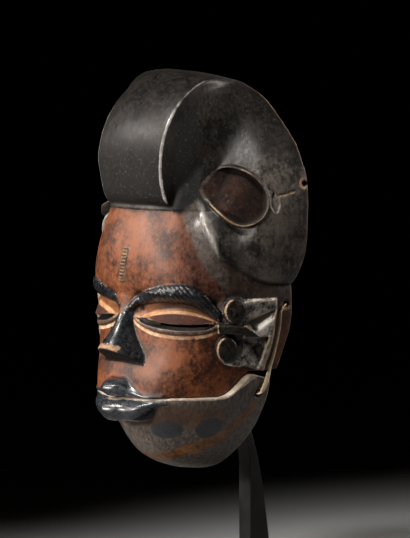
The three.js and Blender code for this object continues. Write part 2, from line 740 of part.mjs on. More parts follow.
// Stand: a bent bar that thins as it climbs, with a cross strap inside the hollow
const postFront = through([[-83, 42.6], [-20, 42.4], [0, 41.8], [20, 38], [50, 30], [80, 19.5],
  [110, 7.5], [134, -2]]);
const postDeep = through([[-83, 19], [-55, 16.6], [-22, 11.6], [0, 7.6], [20, 5.2], [50, 4.5],
  [134, 4.5]]);
const POST = { foot: -82.7, top: 134, wide: 12, steps: 16 };
const STRAP = { half: 56.5, y: 0.2, z: 127, thick: 4.5, tall: 14 };
const BASE = { x: 110, y: 120, thick: 12, corner: 6 };

const side = [];
for (let i = 0; i <= POST.steps; i += 1) {
  const z = POST.foot + ((POST.top - POST.foot) * i) / POST.steps;
  side.push([postFront(z), z]);
  side.unshift([postFront(z) + postDeep(z), z]);
}
const outline = new THREE.Shape(side.map(([y, z]) => new THREE.Vector2(y, z)));
const upright = new THREE.ExtrudeGeometry(outline, { depth: POST.wide, bevelEnabled: false });
// drawn as (y, z) and pushed along x
upright.applyMatrix4(new THREE.Matrix4().set(0, 0, 1, -POST.wide / 2, 1, 0, 0, 0, 0, 1, 0, 0, 0, 0, 0, 1));
const strap = new THREE.BoxGeometry(2 * STRAP.half, STRAP.thick, STRAP.tall);
strap.translate(0, STRAP.y, STRAP.z);
mounted.add(piece('stand_post', solid(upright).add(solid(strap)), 'black_steel'));

// Foot: a plain plate the post stands on
const plan = new THREE.Shape();
const [hx, hy] = [BASE.x / 2 - BASE.corner, BASE.y / 2 - BASE.corner];
for (const [sx, sy, turn] of [[1, 1, 0], [-1, 1, 1], [-1, -1, 2], [1, -1, 3]]) {
  plan.absarc(sx * hx, sy * hy, BASE.corner, (turn * PI) / 2, ((turn + 1) * PI) / 2);
}
const plate = new THREE.ExtrudeGeometry(plan, { depth: BASE.thick, bevelEnabled: false, curveSegments: 6 });
object.add(piece('stand_base', solid(plate), 'black_steel'));

export default object;
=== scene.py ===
# %% [markdown]
# A carved wooden face mask on its stand. The mask is one block of light wood, cut with an adze and a knife,
# then stained and painted: a rolled crest and two side curls of hair, closed eyes, square-cut ears, and a
# separate lower jaw that hangs from cane strips. The solid model of the same object is loaded first and stays
# as it is. Every piece below is made around it, in the same metres, and moves with one of its bodies.

# %% Load the solid model
import bpy
import numpy as np
from math import cos, pi, radians, sin
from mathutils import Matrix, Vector


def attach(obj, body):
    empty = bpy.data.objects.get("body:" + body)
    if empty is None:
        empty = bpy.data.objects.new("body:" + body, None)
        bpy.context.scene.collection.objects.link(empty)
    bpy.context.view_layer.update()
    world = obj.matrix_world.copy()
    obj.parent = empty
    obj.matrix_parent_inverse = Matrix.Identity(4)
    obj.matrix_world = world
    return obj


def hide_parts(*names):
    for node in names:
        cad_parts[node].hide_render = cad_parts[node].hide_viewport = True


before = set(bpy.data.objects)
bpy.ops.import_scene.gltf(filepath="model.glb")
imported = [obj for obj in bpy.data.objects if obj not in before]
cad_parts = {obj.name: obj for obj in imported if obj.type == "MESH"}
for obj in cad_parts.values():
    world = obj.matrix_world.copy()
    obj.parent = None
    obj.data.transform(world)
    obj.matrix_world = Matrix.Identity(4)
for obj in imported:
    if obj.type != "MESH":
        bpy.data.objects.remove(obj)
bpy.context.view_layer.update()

# %% [markdown]
# The camera stands a metre and a half away with a long lens, a little above the eyes and well round to the
# mask's left, so that one ear, one curl and both eyes show. A long lens keeps the sides of the face parallel.
# The lens is worked out from how many millimetres of the object one picture row has to cover.

# %% Camera
PICTURE_TALL = 538
AZIMUTH, ELEVATION, DISTANCE = radians(50), radians(5), 1.5
MM_PER_ROW = 0.65
MASK_FORWARD, AIM_HEIGHT, AIM_RIGHT = 0.008, 0.2237, 0.00605
to_camera = Vector((sin(AZIMUTH) * cos(ELEVATION), -cos(AZIMUTH) * cos(ELEVATION), sin(ELEVATION)))
to_right = Vector((cos(AZIMUTH), sin(AZIMUTH), 0))
aim = Vector((0, -MASK_FORWARD, AIM_HEIGHT)) + to_right * AIM_RIGHT

camera = bpy.data.objects.new("camera", bpy.data.cameras.new("camera"))
bpy.context.scene.collection.objects.link(camera)
bpy.context.scene.camera = camera
camera.location = aim + to_camera * DISTANCE
camera.rotation_mode = "QUATERNION"
camera.rotation_quaternion = (-to_camera).to_track_quat("-Z", "Y")
camera.data.lens = camera.data.sensor_width * DISTANCE * 1000 / MM_PER_ROW / PICTURE_TALL
camera.data.clip_start, camera.data.clip_end = 0.05, 40
print("lens mm", round(camera.data.lens, 1))

# %% [markdown]
# Carved wood has no flat faces and few straight lines, so the block is described the way a carver sees it: as
# depths. Each shape is a function that gives, for points in space, roughly how many millimetres they lie
# outside the wood, and less than nothing inside it. Shapes are joined or cut with a soft minimum or maximum,
# which leaves the small rounding that a knife and years of handling leave. Modelling the same skin by hand
# from a cube would take far longer, and sculpting can't be written down step by step.
# All lengths here are millimetres, with the middle of the chin's underside at zero, the face towards -y.

# %% Soft cuts and joints
def clamp(v, low=0.0, high=1.0):
    return np.minimum(np.maximum(v, low), high)


def ease(v):
    """0 to 1 with no corner at either end."""
    t = clamp(v)
    return t * t * (3 - 2 * t)


def joined(a, b, soft):
    """Both shapes together, with a fillet about that many millimetres wide."""
    near = np.maximum(soft - np.abs(a - b), 0) / soft
    return np.minimum(a, b) - near * near * soft * 0.25


def both(a, b, soft):
    """Only what lies in both shapes, with a rounded edge."""
    return -joined(-a, -b, soft)


class Curve:
    """A smooth line through (station, value) pairs."""

    def __init__(self, *pairs):
        at, value = np.array(pairs, float).T
        n = len(at)
        before, after = np.maximum(np.arange(n) - 1, 0), np.minimum(np.arange(n) + 1, n - 1)
        slope = (value[after] - value[before]) / (at[after] - at[before])
        self.at = np.linspace(at[0], at[-1], 4000)
        i = np.clip(np.searchsorted(at, self.at) - 1, 0, n - 2)
        wide = at[i + 1] - at[i]
        t = (self.at - at[i]) / wide
        self.value = ((2 * t**3 - 3 * t**2 + 1) * value[i] + (t**3 - 2 * t**2 + t) * wide * slope[i]
                      + (3 * t**2 - 2 * t**3) * value[i + 1] + (t**3 - t**2) * wide * slope[i + 1])

    def __call__(self, at):
        return np.interp(at, self.at, self.value).astype(np.float32)


print("a soft joint of two faces 6 mm wide fills", round(float(-joined(0.0, 0.0, 6.0)), 2), "mm")

# %% [markdown]
# The head is laid out first as the carver would rough it: how wide it is at each height and how far it
# stands forward, with a squarish oval between. The back of the block is flat, 20 mm behind the middle of the
# face. Places on the side of the face are given by one number, how far round they lie, seen as from the
# camera, because the brow, the eye and the ear all wrap round the same cheek.

# %% The block and its outlines
REAR, MOUTH, BELOW_HAIR = 20.0, 51.0, 125.0
SEEN_ACROSS, SEEN_DEEP = 0.643, 0.766

half_width = Curve([0, 30], [20, 48], [45, 56], [62, 60.5], [80, 66], [98, 70.5], [115, 71.5], [130, 69.5],
                   [155, 62], [175, 55], [215, 45], [240, 35])
front = Curve([0, -40], [20, -58], [45, -64], [62, -63.5], [80, -58.5], [98, -57], [131, -60.5], [150, -58.5],
              [172, -51], [200, -42], [225, -25], [240, 0])


def round_the_side(x, y):
    """How far round the side a place lies: the cosine and sine of the camera's 50 degrees."""
    return SEEN_ACROSS * np.abs(x) + SEEN_DEEP * y


def squarish_oval(x, y, wide, deep, n, m, middle):
    """Millimetres outside half an oval from the middle line on; its corners fill out with n and m."""
    u = np.abs(x) / wide
    v = np.maximum(middle - y, 0) / deep
    g = np.maximum(u**n + v**m, 1e-6)
    return np.hypot(x, y - middle) * (1 - g ** (-2 / (n + m)))


def parting(y):
    """Height of the split between mask and jaw, level under the cheek and rising behind it."""
    return MOUTH + 2 * ease((y + 75) / 30) + 15 * ease((y + 27) / 23) ** 1.4


def back_plane(z):
    """The flat back, which leans forward below the ears."""
    return REAR - 0.17 * np.maximum(94 - z, 0)


print("widest mm", 2 * float(half_width.value.max()))

# %% [markdown]
# The brows are thick black ropes left proud of the forehead. The eyes are closed: a hollow under the brow,
# a lid rim that rolls over a bulging ball, a narrow slit cut right through the wall so that the wearer can
# see, and a thin lower lid. All of it is shallow relief, so it is a height added to the face, not a solid.

# %% Brows and eyes
EYE_MIDDLE, EYE_HALF, EYE_LEVEL = -11.75, 25.25, 97.9
BROW_OUTER, BROW_INNER = -46.0, 17.5

brow_line = Curve([-47, 103], [-41, 109], [-34, 114], [-24, 117.3], [-12, 118.6], [-3, 117.5], [4, 114],
                  [9, 110], [15, 104.5])
brow_half = Curve([-46, 1.8], [-39, 2.9], [-27, 4.8], [-12, 5.7], [-2, 5.9], [8, 5.7], [15, 3.6])


def brow(s, z):
    """How far the rope stands proud, in mm."""
    t = (z - brow_line(s)) / brow_half(s)
    ends = ease((s - BROW_OUTER) / 4) * ease((BROW_INNER - s) / 4)
    return (2.0 + 1.3 * ease((s + 40) / 25)) * np.maximum(1 - t * t, 0) ** 0.55 * ends


def eye_lines(s):
    """How far along the eye, and the heights of its slit, its upper lid and its lower lid."""
    along = (s - EYE_MIDDLE) / EYE_HALF
    slit = EYE_LEVEL + 2.6 * along * along - 1.15 * along
    upper = slit + 10 * np.maximum(1 - ((along - 0.08) / 0.98) ** 2, 0)
    lower = slit - 5.7 * np.maximum(1 - 0.5 * along**4, 0)
    return along, slit, upper, lower


def slit_share(along):
    """1 along most of the slit, falling to 0 at its ends."""
    return np.minimum(np.maximum(1 - along * along, 0) * 2.2, 1)


def eye(s, z):
    """Height of lid, ball and lower lid, less the depth of the socket."""
    along, slit, upper, lower = eye_lines(s)
    inside = np.maximum(1 - along * along, 0)
    socket = 3.2 * ease((z - slit + 3) / 10) * ease((slit + 20 - z) / 7)
    socket = socket * ease((s + 42) / 8) * ease((20 - s) / 8)
    lower_lid = 2 * ease((z - lower) / 1.2) * ease((1.09 - np.abs(along)) / 0.1)
    up = clamp((z - slit) / np.maximum(upper - slit, 0.5))
    rim = 1.6 * ease((upper + 0.8 - z) / 1.6)
    ball = 3.4 * inside * np.sqrt(clamp(1 - (up / 0.8) ** 2))
    return np.where(z <= slit, lower_lid, (rim + ball) * ease(inside * 5)) - socket


print("slit half length mm", EYE_HALF)

# %% [markdown]
# The ears are built of flat plates like a buckle: a frame with a pale worn rim, three sloping facets inside
# it, a bar towards the eye, and two round bosses. Each is a height again, one mixed over the other.

# %% Ears
BOSSES = ((25.0, 108.2, 7.4, 8.8), (19.9, 83.6, 7.2, 9.2))

ear_front = Curve([66, 34], [70, 31], [74, 18], [84, 13.5], [92, 17], [98, 19], [104, 17], [112, 19],
                  [116, 30])
ear_back = Curve([66, 43], [72, 44.5], [81, 47.5], [92, 50], [107, 51.5], [116, 51.5])
ear_inner = Curve([66, 37], [72, 39.5], [81, 42.5], [91, 45.5], [107, 50], [116, 51])


def boss_reach(s, z, boss):
    """0 in the middle of a boss, 1 at its edge."""
    return np.hypot((s - boss[0]) / boss[2], (z - boss[1]) / boss[3])


def bar_level(s):
    return 96.4 - 0.07 * (s - 20)


def ear_groove(s):
    """Height of the groove between the ear's top plate and its middle facet."""
    return 101 + 0.41 * (s - 33.7)


def ear_bar(s, z):
    across = ease((3.6 - np.abs(z - bar_level(s))) / 1.2)
    return across * ease((s - 13.2) / 1.2) * ease((33.5 - s) / 1.2)


def ear_wedge(s, z):
    """How far along the wedge behind the bar, and 1 on it."""
    point = clamp((s - 32) / 8.5)
    across = (1 - point) * 4.2 - np.abs(z - 95 + 4.5 * point)
    return point, np.where((s > 30) & (s < 40.8), ease(across / 1.6 + 0.5), 0)


def ear_edge(s, z):
    """Millimetres inside the ear's outline."""
    low = z - (71.5 - 0.33 * np.maximum(s - 31, 0))
    return np.minimum(np.minimum(s - ear_front(z), ear_back(z) - s), np.minimum(115 - z, low))


def ear(s, z):
    groove = ear_groove(s)
    top_plate = 4 - 2.4 * clamp((114.5 - z) / (114.5 - groove))
    facet = -2.6 + 7 * clamp((groove - 0.6 - z + 0.3 * (s - 36)) / 9)
    low_plate = -0.6 + 4.4 * clamp((91 - 0.2 * (s - 33) - z) / 17)
    height = np.where(z > groove, top_plate, np.where(z > 91 - 0.1 * (s - 40), facet, low_plate))
    rim = ease((s - ear_inner(z)) / 1.4)
    height = height * (1 - rim) + 5 * rim
    point, wedge = ear_wedge(s, z)
    height = height * (1 - wedge) + (5.8 - 2 * point) * wedge
    height = height * ease(ear_edge(s, z) / 1.4)
    bar = ear_bar(s, z)
    height = height * (1 - bar) + 6 * bar
    for boss in BOSSES:
        reach = boss_reach(s, z, boss)
        over = ease((1 - reach) / 0.18)
        height = height * (1 - over) + (6.8 - 0.8 * reach * reach) * over
    return height


print("ear stands proud mm", round(float(ear(np.array([25.0]), np.array([108.2]))[0]), 1))

# %% [markdown]
# The nose is a sharp wedge with a cut-off tip. The lips are full rolls that thin out towards the cheeks; the
# lower one belongs to the jaw. A short ladder of scars stands in the middle of the forehead.

# %% Nose, lips and scar, and the whole face
SCAR_FOOT, SCAR_TOP, SCAR_RAISED = 123.5, 146.0, 1.0
HAIRLINE = 169.5

nose_half = Curve([68, 22], [78, 20.5], [86, 15], [96, 9], [104, 8.5], [116, 10])
nose_rise = Curve([62, 11], [70, 16], [78, 19.5], [84, 18.5], [95, 10.5], [104, 5], [112, 1.5], [118, 0])


def nose_tip(y):
    """Height of the nose's cut-off tip, which slopes."""
    return 74 - 0.5 * (y + 60)


def nose(x, y, z):
    ax = np.abs(x)
    rise, half = nose_rise(z), nose_half(z)
    ridge = front(z) - rise + (rise + 6) * clamp(ax / half) ** 2.4
    d = np.maximum((ridge - y) * 0.6, ax - half - 4)
    d = both(d, (nose_tip(y) - z) * 0.88, 1.6)
    d = both(d, z - 116, 3)
    return np.maximum(d, y + 45)


lip_back = Curve([0, 0], [5, 2.5], [10, 6], [15, 8.2], [20, 9.1], [25, 11.1], [33, 16.5], [60, 40])


def lip(x, y, z, line, thick, half, middle, deep, up, full, fade):
    """A roll above (up 1) or below (up -1) its line, full in the middle and thinning over the fade."""
    ax = np.abs(x)
    taper = 0.16 + 0.84 * (1 - ease((ax - full) / fade))
    high = thick * taper
    ey = (y - (middle + lip_back(ax))) / (deep * (0.35 + 0.65 * taper))
    ez = (z - line - up * high) / high
    return np.maximum((np.hypot(ey, ez) - 1) * high, ax - half)


def upper_lip(x, y, z):
    return lip(x, y, z, MOUTH + 0.6, 5.5, 33, -66.6, 9.6, 1, 5, 21)


def lower_lip(x, y, z):
    return lip(x, y, z, MOUTH - 0.6, 7.2, 35, -66.6, 10.5, -1, 14, 19)


def scar_across(x, z):
    """Millimetres inside the scar's strip, counted from its sides."""
    return 3.0 - np.abs(x - 1.2 - (z - 134) * 0.2)


def scar(x, z):
    long_way = ease((SCAR_TOP - z) / 1.5) * ease((z - SCAR_FOOT) / 1.5)
    return SCAR_RAISED * ease(scar_across(x, z) / 0.8) * long_way


def bare_face(x, y, z):
    """The face without nose and lips. The right eye and brow are cut shallower than the left."""
    s = round_the_side(x, y)
    d = squarish_oval(x, y, half_width(z), REAR - front(z), 2.75, 2, REAR)
    hairline = 0.9 * ease((z - HAIRLINE) / 1.2)
    right = x < 0
    relief = eye(s, z) * np.where(right, 0.6, 1) + brow(s, z) * np.where(right, 0.4, 1)
    return d - relief - np.where(y < -40, scar(x, z), 0) - hairline


def face(x, y, z):
    d = joined(bare_face(x, y, z), nose(x, y, z), 2)
    return joined(d, upper_lip(x, y, z), 3)


print("nose stands proud mm", round(float(nose_rise.value.max()), 1))

# %% [markdown]
# The hair is the mask's showpiece. A wide strap-like crest rolls forward over the forehead and ends in a
# crisp edge on each side. It is a drum with a flatter roof. From it the hair sweeps back and out to the
# flat rear.

# %% Crest and sweep
CREST_Y, CREST_Z, CREST_RADIUS, CREST_HALF = 3.0, 197.5, 62.0, 31.0

hair_half = Curve([100, 74], [119, 77], [130, 79], [145, 85], [170, 87], [190, 86], [201, 81.5], [212, 75.5],
                  [226, 62.5], [240, 46], [248, 31], [256, 8])


def crown(x, y, z, extra):
    """The drum and its flat roof, a little higher on the right than on the left, sunk by something extra."""
    lift = clamp(-x / CREST_HALF) * (1.8 * ease((z - 185) / 20) + 3.2 * ease((z - 243) / 14))
    sink = 4.5 * (np.abs(x) / CREST_HALF) ** 2 + extra - lift
    roll = np.hypot(y - CREST_Y, z - CREST_Z) - CREST_RADIUS + sink
    roof = (z - 258.8 + 0.2 * (y + 13) + sink) * 0.97
    return both(roll, roof, 5)


def crest(x, y, z):
    d = both(crown(x, y, z, 0), HAIRLINE - 0.5 - z, 12)
    return both(d, np.abs(x) - CREST_HALF, 1.6 + 6 * clamp((y + 25) / 30))


def sweep(x, y, z):
    full = hair_half(z)
    t = clamp((y + 38) / 58)
    base = np.minimum(full, CREST_HALF - 1)
    d = (np.abs(x) - base - (full - base) * t**1.6) * 0.75
    d = both(d, crown(np.minimum(np.abs(x), 45), y, z, 0.4 * (1 - t)), 4)
    return both(d, 150 + 23 * ease((46 - np.abs(x)) / 8) - z, 9)


print("crest wide mm", 2 * CREST_HALF)

# %% [markdown]
# Each side of the hair ends in a fat curl with a scooped dish in it, an oval that comes to a point in front.
# A cove runs under the dish, and between the cove and the forehead a narrow ridge catches the light. Sweep
# and curl are mixed by a share that changes slowly round the side, so no seam shows above the dish.

# %% Curls and dishes
DISH_S, DISH_Z, DISH_LONG, DISH_SHORT, DISH_TURN = 24.4, 179.0, 21.3, 16.6, -0.415

curl_edge = Curve([-14, 188], [-8.6, 174.6], [-0.8, 155.7], [3.1, 146.1], [11.8, 131.5], [23.5, 123.4],
                  [38.3, 119.9], [60, 118.5])
curl_start = Curve([150, -20], [160, -14], [170, 0], [178, 6], [186, 12], [192, 17], [198, 22], [206, 26],
                   [215, 28], [240, 30])
ridge_line = Curve([-8, 196], [1.1, 177.6], [7.9, 158.1], [11.7, 151.5], [16.6, 142.8], [26, 133], [60, 128])


def curl_body(x, y, z):
    """Millimetres outside the round body that one curl is cut from."""
    wide = hair_half(z) - 20
    ax = np.maximum(np.abs(x) - 20, 0)
    q = np.hypot(ax / wide, (REAR - y) / (0.924 * wide)) + 1e-6
    drawn_in = 11 * ease((z - 152) / 32) * ease((16 - round_the_side(x, y)) / 22)
    return np.hypot(ax, y - REAR) * (1 - 1 / q) + drawn_in


def dish_outline(s, z):
    """Millimetres outside the dish's outline."""
    c, q = cos(DISH_TURN), sin(DISH_TURN)
    ds, dz = s - DISH_S, z - DISH_Z
    r = np.hypot((ds * c + dz * q) / DISH_LONG, (dz * c - ds * q) / DISH_SHORT) + 1e-6
    oval = (1 - 1 / r) * np.hypot(ds, dz)
    under = -(z - 180.4 + 0.872 * (s - 3)) * 0.754
    over = (z - 182.4 - 0.95 * (s - 1)) * 0.725
    return both(both(oval, under, 5), over, 1.5)


def above_curl_edge(s, z):
    """Millimetres above the curl's lower edge."""
    slope = (curl_edge(s + 0.7) - curl_edge(s - 0.7)) / 1.4
    return (z - curl_edge(s)) / np.sqrt(1 + slope * slope)


def curl(x, y, z):
    s = round_the_side(x, y)
    above = above_curl_edge(s, z)
    d = both(curl_body(x, y, z), 2.5 - 4.5 * ease((22 - s) / 12) - above * 0.95, 8 + 7 * ease((s - 8) / 14))
    out = dish_outline(s, z)
    low_side = ease(0.5 - (z - 178 - 0.95 * (s - 6)) / 10)
    cove = np.maximum(1 - np.maximum(out - 1.6, 0) / 13, 0) ** 1.5 * ease((out - 0.8) / 1.6)
    ridge = np.exp(-(((z - ridge_line(s)) * 0.5 / 2.2) ** 2)) * ease((24 - s) / 14)
    cove = cove * low_side * ease(0.5 - (s - 34) / 14) * ease((above - 4) / 4)
    return d + 7.5 * cove - 2.0 * ridge * ease((out - 2) / 3)


def curl_share(s, z):
    """1 where the surface is all curl, 0 where it is all sweep."""
    return ease(0.5 + (s - curl_start(z) - 3) / 34) * ease(0.5 + (204 - z) / 74)


def hair_before_the_dish(x, y, z):
    """The curls and the sweep above them as one smooth skin."""
    s = round_the_side(x, y)
    low = curl_share(s, z)
    return curl(x, y, z) * low + sweep(x, y, z) * (1 - low)


def hair(x, y, z):
    s = round_the_side(x, y)
    out = dish_outline(s, z)
    d = hair_before_the_dish(x, y, z)
    dish = both(out, -(d + 3 + 11 * clamp((s - 4) / 38)), 4)
    d = d - 1.3 * np.exp(-(((out - 0.5) / 1.3) ** 2)) * ease((s + 6) / 8)
    d = both(d, -dish, 1)
    return joined(d, crest(x, y, z), 1.2 + 16 * ease((-crown(x, y, z, 0) - 7) / 14))


print("dish long mm", 2 * DISH_LONG)

# %% [markdown]
# Behind, the mask is gouged out to a wall of about a centimetre. Two pairs of holes are bored through the
# rim, to tie it on by. A flake has split off the left curl and a crack runs from it to the upper hole. These
# are cut last, as on the real one.

# %% Hollow, holes, flake and crack
LOW_HOLE = ((84, 16, 110.5), (52, 13, 110.5), 2.0)
HIGH_HOLE = ((96, 13, 187), (64, 26, 187), 1.8)
FLAKE_S, FLAKE_Z, FLAKE_HALF_WIDE, FLAKE_HALF_TALL, FLAKE_LEAN = 49.6, 175.4, 3.3, 7.2, 0.12
CRACK = ((52.1, 179.6), (56.0, 180.2), (61.5, 182.2))
FACE_TOP, HOLLOW_TOP, SLIT_HALF_TALL = 215.0, 214.0, 1.75


def hollow(x, y, z):
    d = squarish_oval(x, y, half_width(z) - 9, REAR - 13 - front(z), 2.4, 2, REAR)
    return both(d, z - HOLLOW_TOP, 30)


def bored(x, y, z, hole):
    """Millimetres outside a straight round hole, the same on both sides of the mask."""
    start, end, radius = np.array(hole[0], float), np.array(hole[1], float), hole[2]
    along = end - start
    dx, dy, dz = np.abs(x) - start[0], y - start[1], z - start[2]
    t = clamp((dx * along[0] + dy * along[1] + dz * along[2]) / float(along @ along))
    return np.sqrt((dx - t * along[0]) ** 2 + (dy - t * along[1]) ** 2 + (dz - t * along[2]) ** 2) - radius


def flake_inside(s, z):
    """Millimetres inside the flake's leaf shape."""
    ds, dz = s - FLAKE_S + FLAKE_LEAN * (z - FLAKE_Z), z - FLAKE_Z
    return FLAKE_HALF_WIDE * (1 - clamp(np.abs(dz) / FLAKE_HALF_TALL) ** 1.8) - np.abs(ds)


def crack_away(s, z):
    """Millimetres from the crack's line."""
    away = np.full_like(s, 99.0)
    for (s0, z0), (s1, z1) in zip(CRACK, CRACK[1:]):
        ds, dz = s1 - s0, z1 - z0
        t = clamp(((s - s0) * ds + (z - z0) * dz) / (ds * ds + dz * dz))
        away = np.minimum(away, np.hypot(s - s0 - t * ds, z - z0 - t * dz))
    return away


def mask_block(x, y, z):
    """The whole mask: face, ears and hair joined, then everything that is cut away."""
    s = round_the_side(x, y)
    d = both(face(x, y, z), z - FACE_TOP, 6)
    d = d - np.where(z < BELOW_HAIR, ear(s, z), 0)
    soft = 1 + 6 * ease((186 - z) / 8) * ease((22 - s) / 12) * ease((np.abs(x) - 31) / 4)
    d = np.where(z > 100, joined(d, hair(x, y, z), soft), d)
    d = both(d, y - back_plane(z), 2)
    d = both(d, -hollow(x, y, z), 2)
    along, slit, _, _ = eye_lines(s)
    gap = SLIT_HALF_TALL * slit_share(along)
    cut = np.maximum(np.maximum(np.abs(z - slit + 0.2) - gap, (np.abs(along) - 0.93) * 20), y)
    d = both(d, -cut, 0.5)
    d = both(d, -bored(x, y, z, LOW_HOLE), 0.4)
    d = both(d, -bored(x, y, z, HIGH_HOLE), 0.4)
    left_side = x > 0
    d = d + np.where(left_side, 1.1 * ease(flake_inside(s, z) + 0.3), 0)
    d = d + np.where(left_side & (y > -20), 0.7 * ease(1.4 - crack_away(s, z)), 0)
    return both(d, parting(y) + 0.3 - z, 0.8)


print("holes mm", 2 * LOW_HOLE[2], 2 * HIGH_HOLE[2])

# %% [markdown]
# To make a mesh, the wood's depth is sampled on a fine grid and one corner point is put in each grid cell
# that the skin passes through, at the average of where the skin crosses the cell's edges. Neighbouring points
# are then joined into four-sided faces. Blender's own Volume to Mesh does much the same but can't be given a
# formula.

# %% From depth to skin
def sampled(depth, low, high, step):
    """The depth on a grid, and the grid's three lists of stations."""
    across, deep, tall = [np.arange(low[i], high[i] + step, step, dtype=np.float32) for i in range(3)]
    values = np.empty((len(tall), len(deep), len(across)), np.float32)
    slab = 6
    for k in range(0, len(tall), slab):
        z, y, x = np.meshgrid(tall[k:k + slab], deep, across, indexing="ij")
        values[k:k + slab] = depth(x, y, z)
    return values, (tall, deep, across)


def skinned(values, stations):
    """Points (x, y, z) and four-sided faces of the skin, facing out of the wood."""
    wood = values < 0
    last = [n - 1 for n in values.shape]
    corners = [(k, j, i) for k in (0, 1) for j in (0, 1) for i in (0, 1)]
    filled = np.zeros(last, np.uint8)
    for corner in corners:
        filled += wood[tuple(slice(c, n + c) for c, n in zip(corner, last))]
    crossed = (filled > 0) & (filled < 8)
    number = np.full(crossed.shape, -1, np.int64)
    cells = np.argwhere(crossed)
    number[crossed] = np.arange(len(cells))
    at = {corner: values[tuple((cells + corner).T)] for corner in corners}
    total, count = np.zeros((len(cells), 3), np.float32), np.zeros(len(cells), np.float32)
    for corner in corners:
        for axis in range(3):
            if corner[axis]:
                continue
            other = tuple(1 if i == axis else c for i, c in enumerate(corner))
            a, b = at[corner], at[other]
            cut = (a < 0) != (b < 0)
            share = np.where(cut, a / np.where(cut, a - b, 1), 0)
            point = np.tile(np.array(corner, np.float32), (len(cells), 1))
            point[:, axis] = share
            total += np.where(cut[:, None], point, 0)
            count += cut
    inside_cell = total / count[:, None]
    steps = [line[1] - line[0] for line in stations]
    places = [stations[i][cells[:, i]] + inside_cell[:, i] * steps[i] for i in range(3)]
    faces = []
    for axis in range(3):
        before = wood[tuple(slice(None, -1) if i == axis else slice(None) for i in range(3))]
        after = wood[tuple(slice(1, None) if i == axis else slice(None) for i in range(3))]
        first, second = [i for i in range(3) if i != axis]
        edges = np.argwhere(before != after)
        roomy = [(edges[:, i] > 0) & (edges[:, i] < values.shape[i] - 1) for i in (first, second)]
        edges = edges[roomy[0] & roomy[1]]
        wood_first = before[tuple(edges.T)]
        ring = []
        for back_first, back_second in ((1, 1), (0, 1), (0, 0), (1, 0)):
            cell = edges.copy()
            cell[:, first] -= back_first
            cell[:, second] -= back_second
            ring.append(number[tuple(cell.T)])
        face = np.stack(ring, 1)
        turned = wood_first if axis != 1 else ~wood_first
        face[turned] = face[turned][:, ::-1]
        faces.append(face)
    return np.stack(places[::-1], 1), np.concatenate(faces)


def ball(x, y, z):
    return np.sqrt(x * x + y * y + z * z) - 5


print("10 mm ball, 1 mm grid, faces", len(skinned(*sampled(ball, (-6, -6, -6), (6, 6, 6), 1.0))[1]))

# %% [markdown]
# Each point is then pulled the last bit onto the true skin, so that the faces are smooth. Which way to pull
# is found from how the depth changes a little to each side.

# %% Settling on the skin
def outward(depth, points, reach=0.3):
    """Which way is out of the wood, and how steeply the depth grows that way."""
    slopes = []
    for axis in range(3):
        ahead, behind = points.copy(), points.copy()
        ahead[:, axis] += reach
        behind[:, axis] -= reach
        slopes.append((depth(*ahead.T) - depth(*behind.T)) / (2 * reach))
    slope = np.stack(slopes, 1)
    steep = np.maximum(np.linalg.norm(slope, axis=1), 0.2)
    return slope / steep[:, None], steep


def settled(depth, points, step):
    """The points pulled onto the skin."""
    for _ in range(2):
        way, steep = outward(depth, points)
        off = np.clip(depth(*points.T) / steep, -0.6 * step, 0.6 * step)
        points = points - way * off[:, None]
    return points.astype(np.float32)


print("pulled from 5.4 to", round(float(settled(ball, np.array([[0.0, 0.0, 5.4]]), 1.0)[0, 2]), 3))

# %% [markdown]
# A knife never leaves a perfectly even face. Each cut is a shallow scallop a centimetre or two long, a
# quarter of a millimetre deep, with finer unevenness inside it. That is made with a slow random wander:
# random heights on a coarse lattice, blended smoothly between its corners. The seeds are fixed, so it comes
# out the same each time.

# %% Knife marks
def wander(points, spacing, seed):
    """A smooth random height from -1 to 1 that changes over about that many millimetres."""
    low, extent = np.array([-100.0, -100.0, -20.0]), np.array([200.0, 140.0, 300.0])
    spacing = np.broadcast_to(np.array(spacing, float), 3)
    size = np.ceil(extent / spacing).astype(int) + 3
    lattice = np.random.default_rng(seed).uniform(-1, 1, size).astype(np.float32)
    spot = (points - low) / spacing
    cell = np.clip(np.floor(spot).astype(int), 0, size - 2)
    share = ease(spot - cell)
    height = np.zeros(len(points))
    for corner in ((a, b, c) for a in (0, 1) for b in (0, 1) for c in (0, 1)):
        weight = np.prod([share[:, i] if corner[i] else 1 - share[:, i] for i in range(3)], axis=0)
        height += weight * lattice[tuple((cell + corner).T)]
    return height


def knife_marks(points):
    """Long scallops that follow the grain, which runs up the block, and finer unevenness between them."""
    return 0.17 * wander(points, (11, 11, 24), 5) + 0.09 * wander(points, (4.5, 4.5, 9), 11)


sample = np.random.default_rng(1).uniform(0, 100, (500, 3))
print("deepest mark mm", round(float(np.abs(knife_marks(sample)).max()), 2))

# %% [markdown]
# The skin first comes out with far more faces than it needs. Blender's Decimate modifier merges the flat
# parts and keeps the faces where the carving is tight, until the piece is light enough to handle. A helper
# puts millimetres of the mask into metres of the scene, where the chin's underside is 95 mm above the table.

# %% Making a carved piece
MASK_PLACE = np.array([0.0, -1000 * MASK_FORWARD, 95.0])
GRID = 0.8
MOST_FACES = 190_000


def in_scene(points):
    return (np.asarray(points, float) + MASK_PLACE) / 1000


def in_mask(points):
    return np.asarray(points, float) * 1000 - MASK_PLACE


def points_of(obj):
    flat = np.empty(len(obj.data.vertices) * 3, np.float32)
    obj.data.vertices.foreach_get("co", flat)
    return flat.reshape(-1, 3)


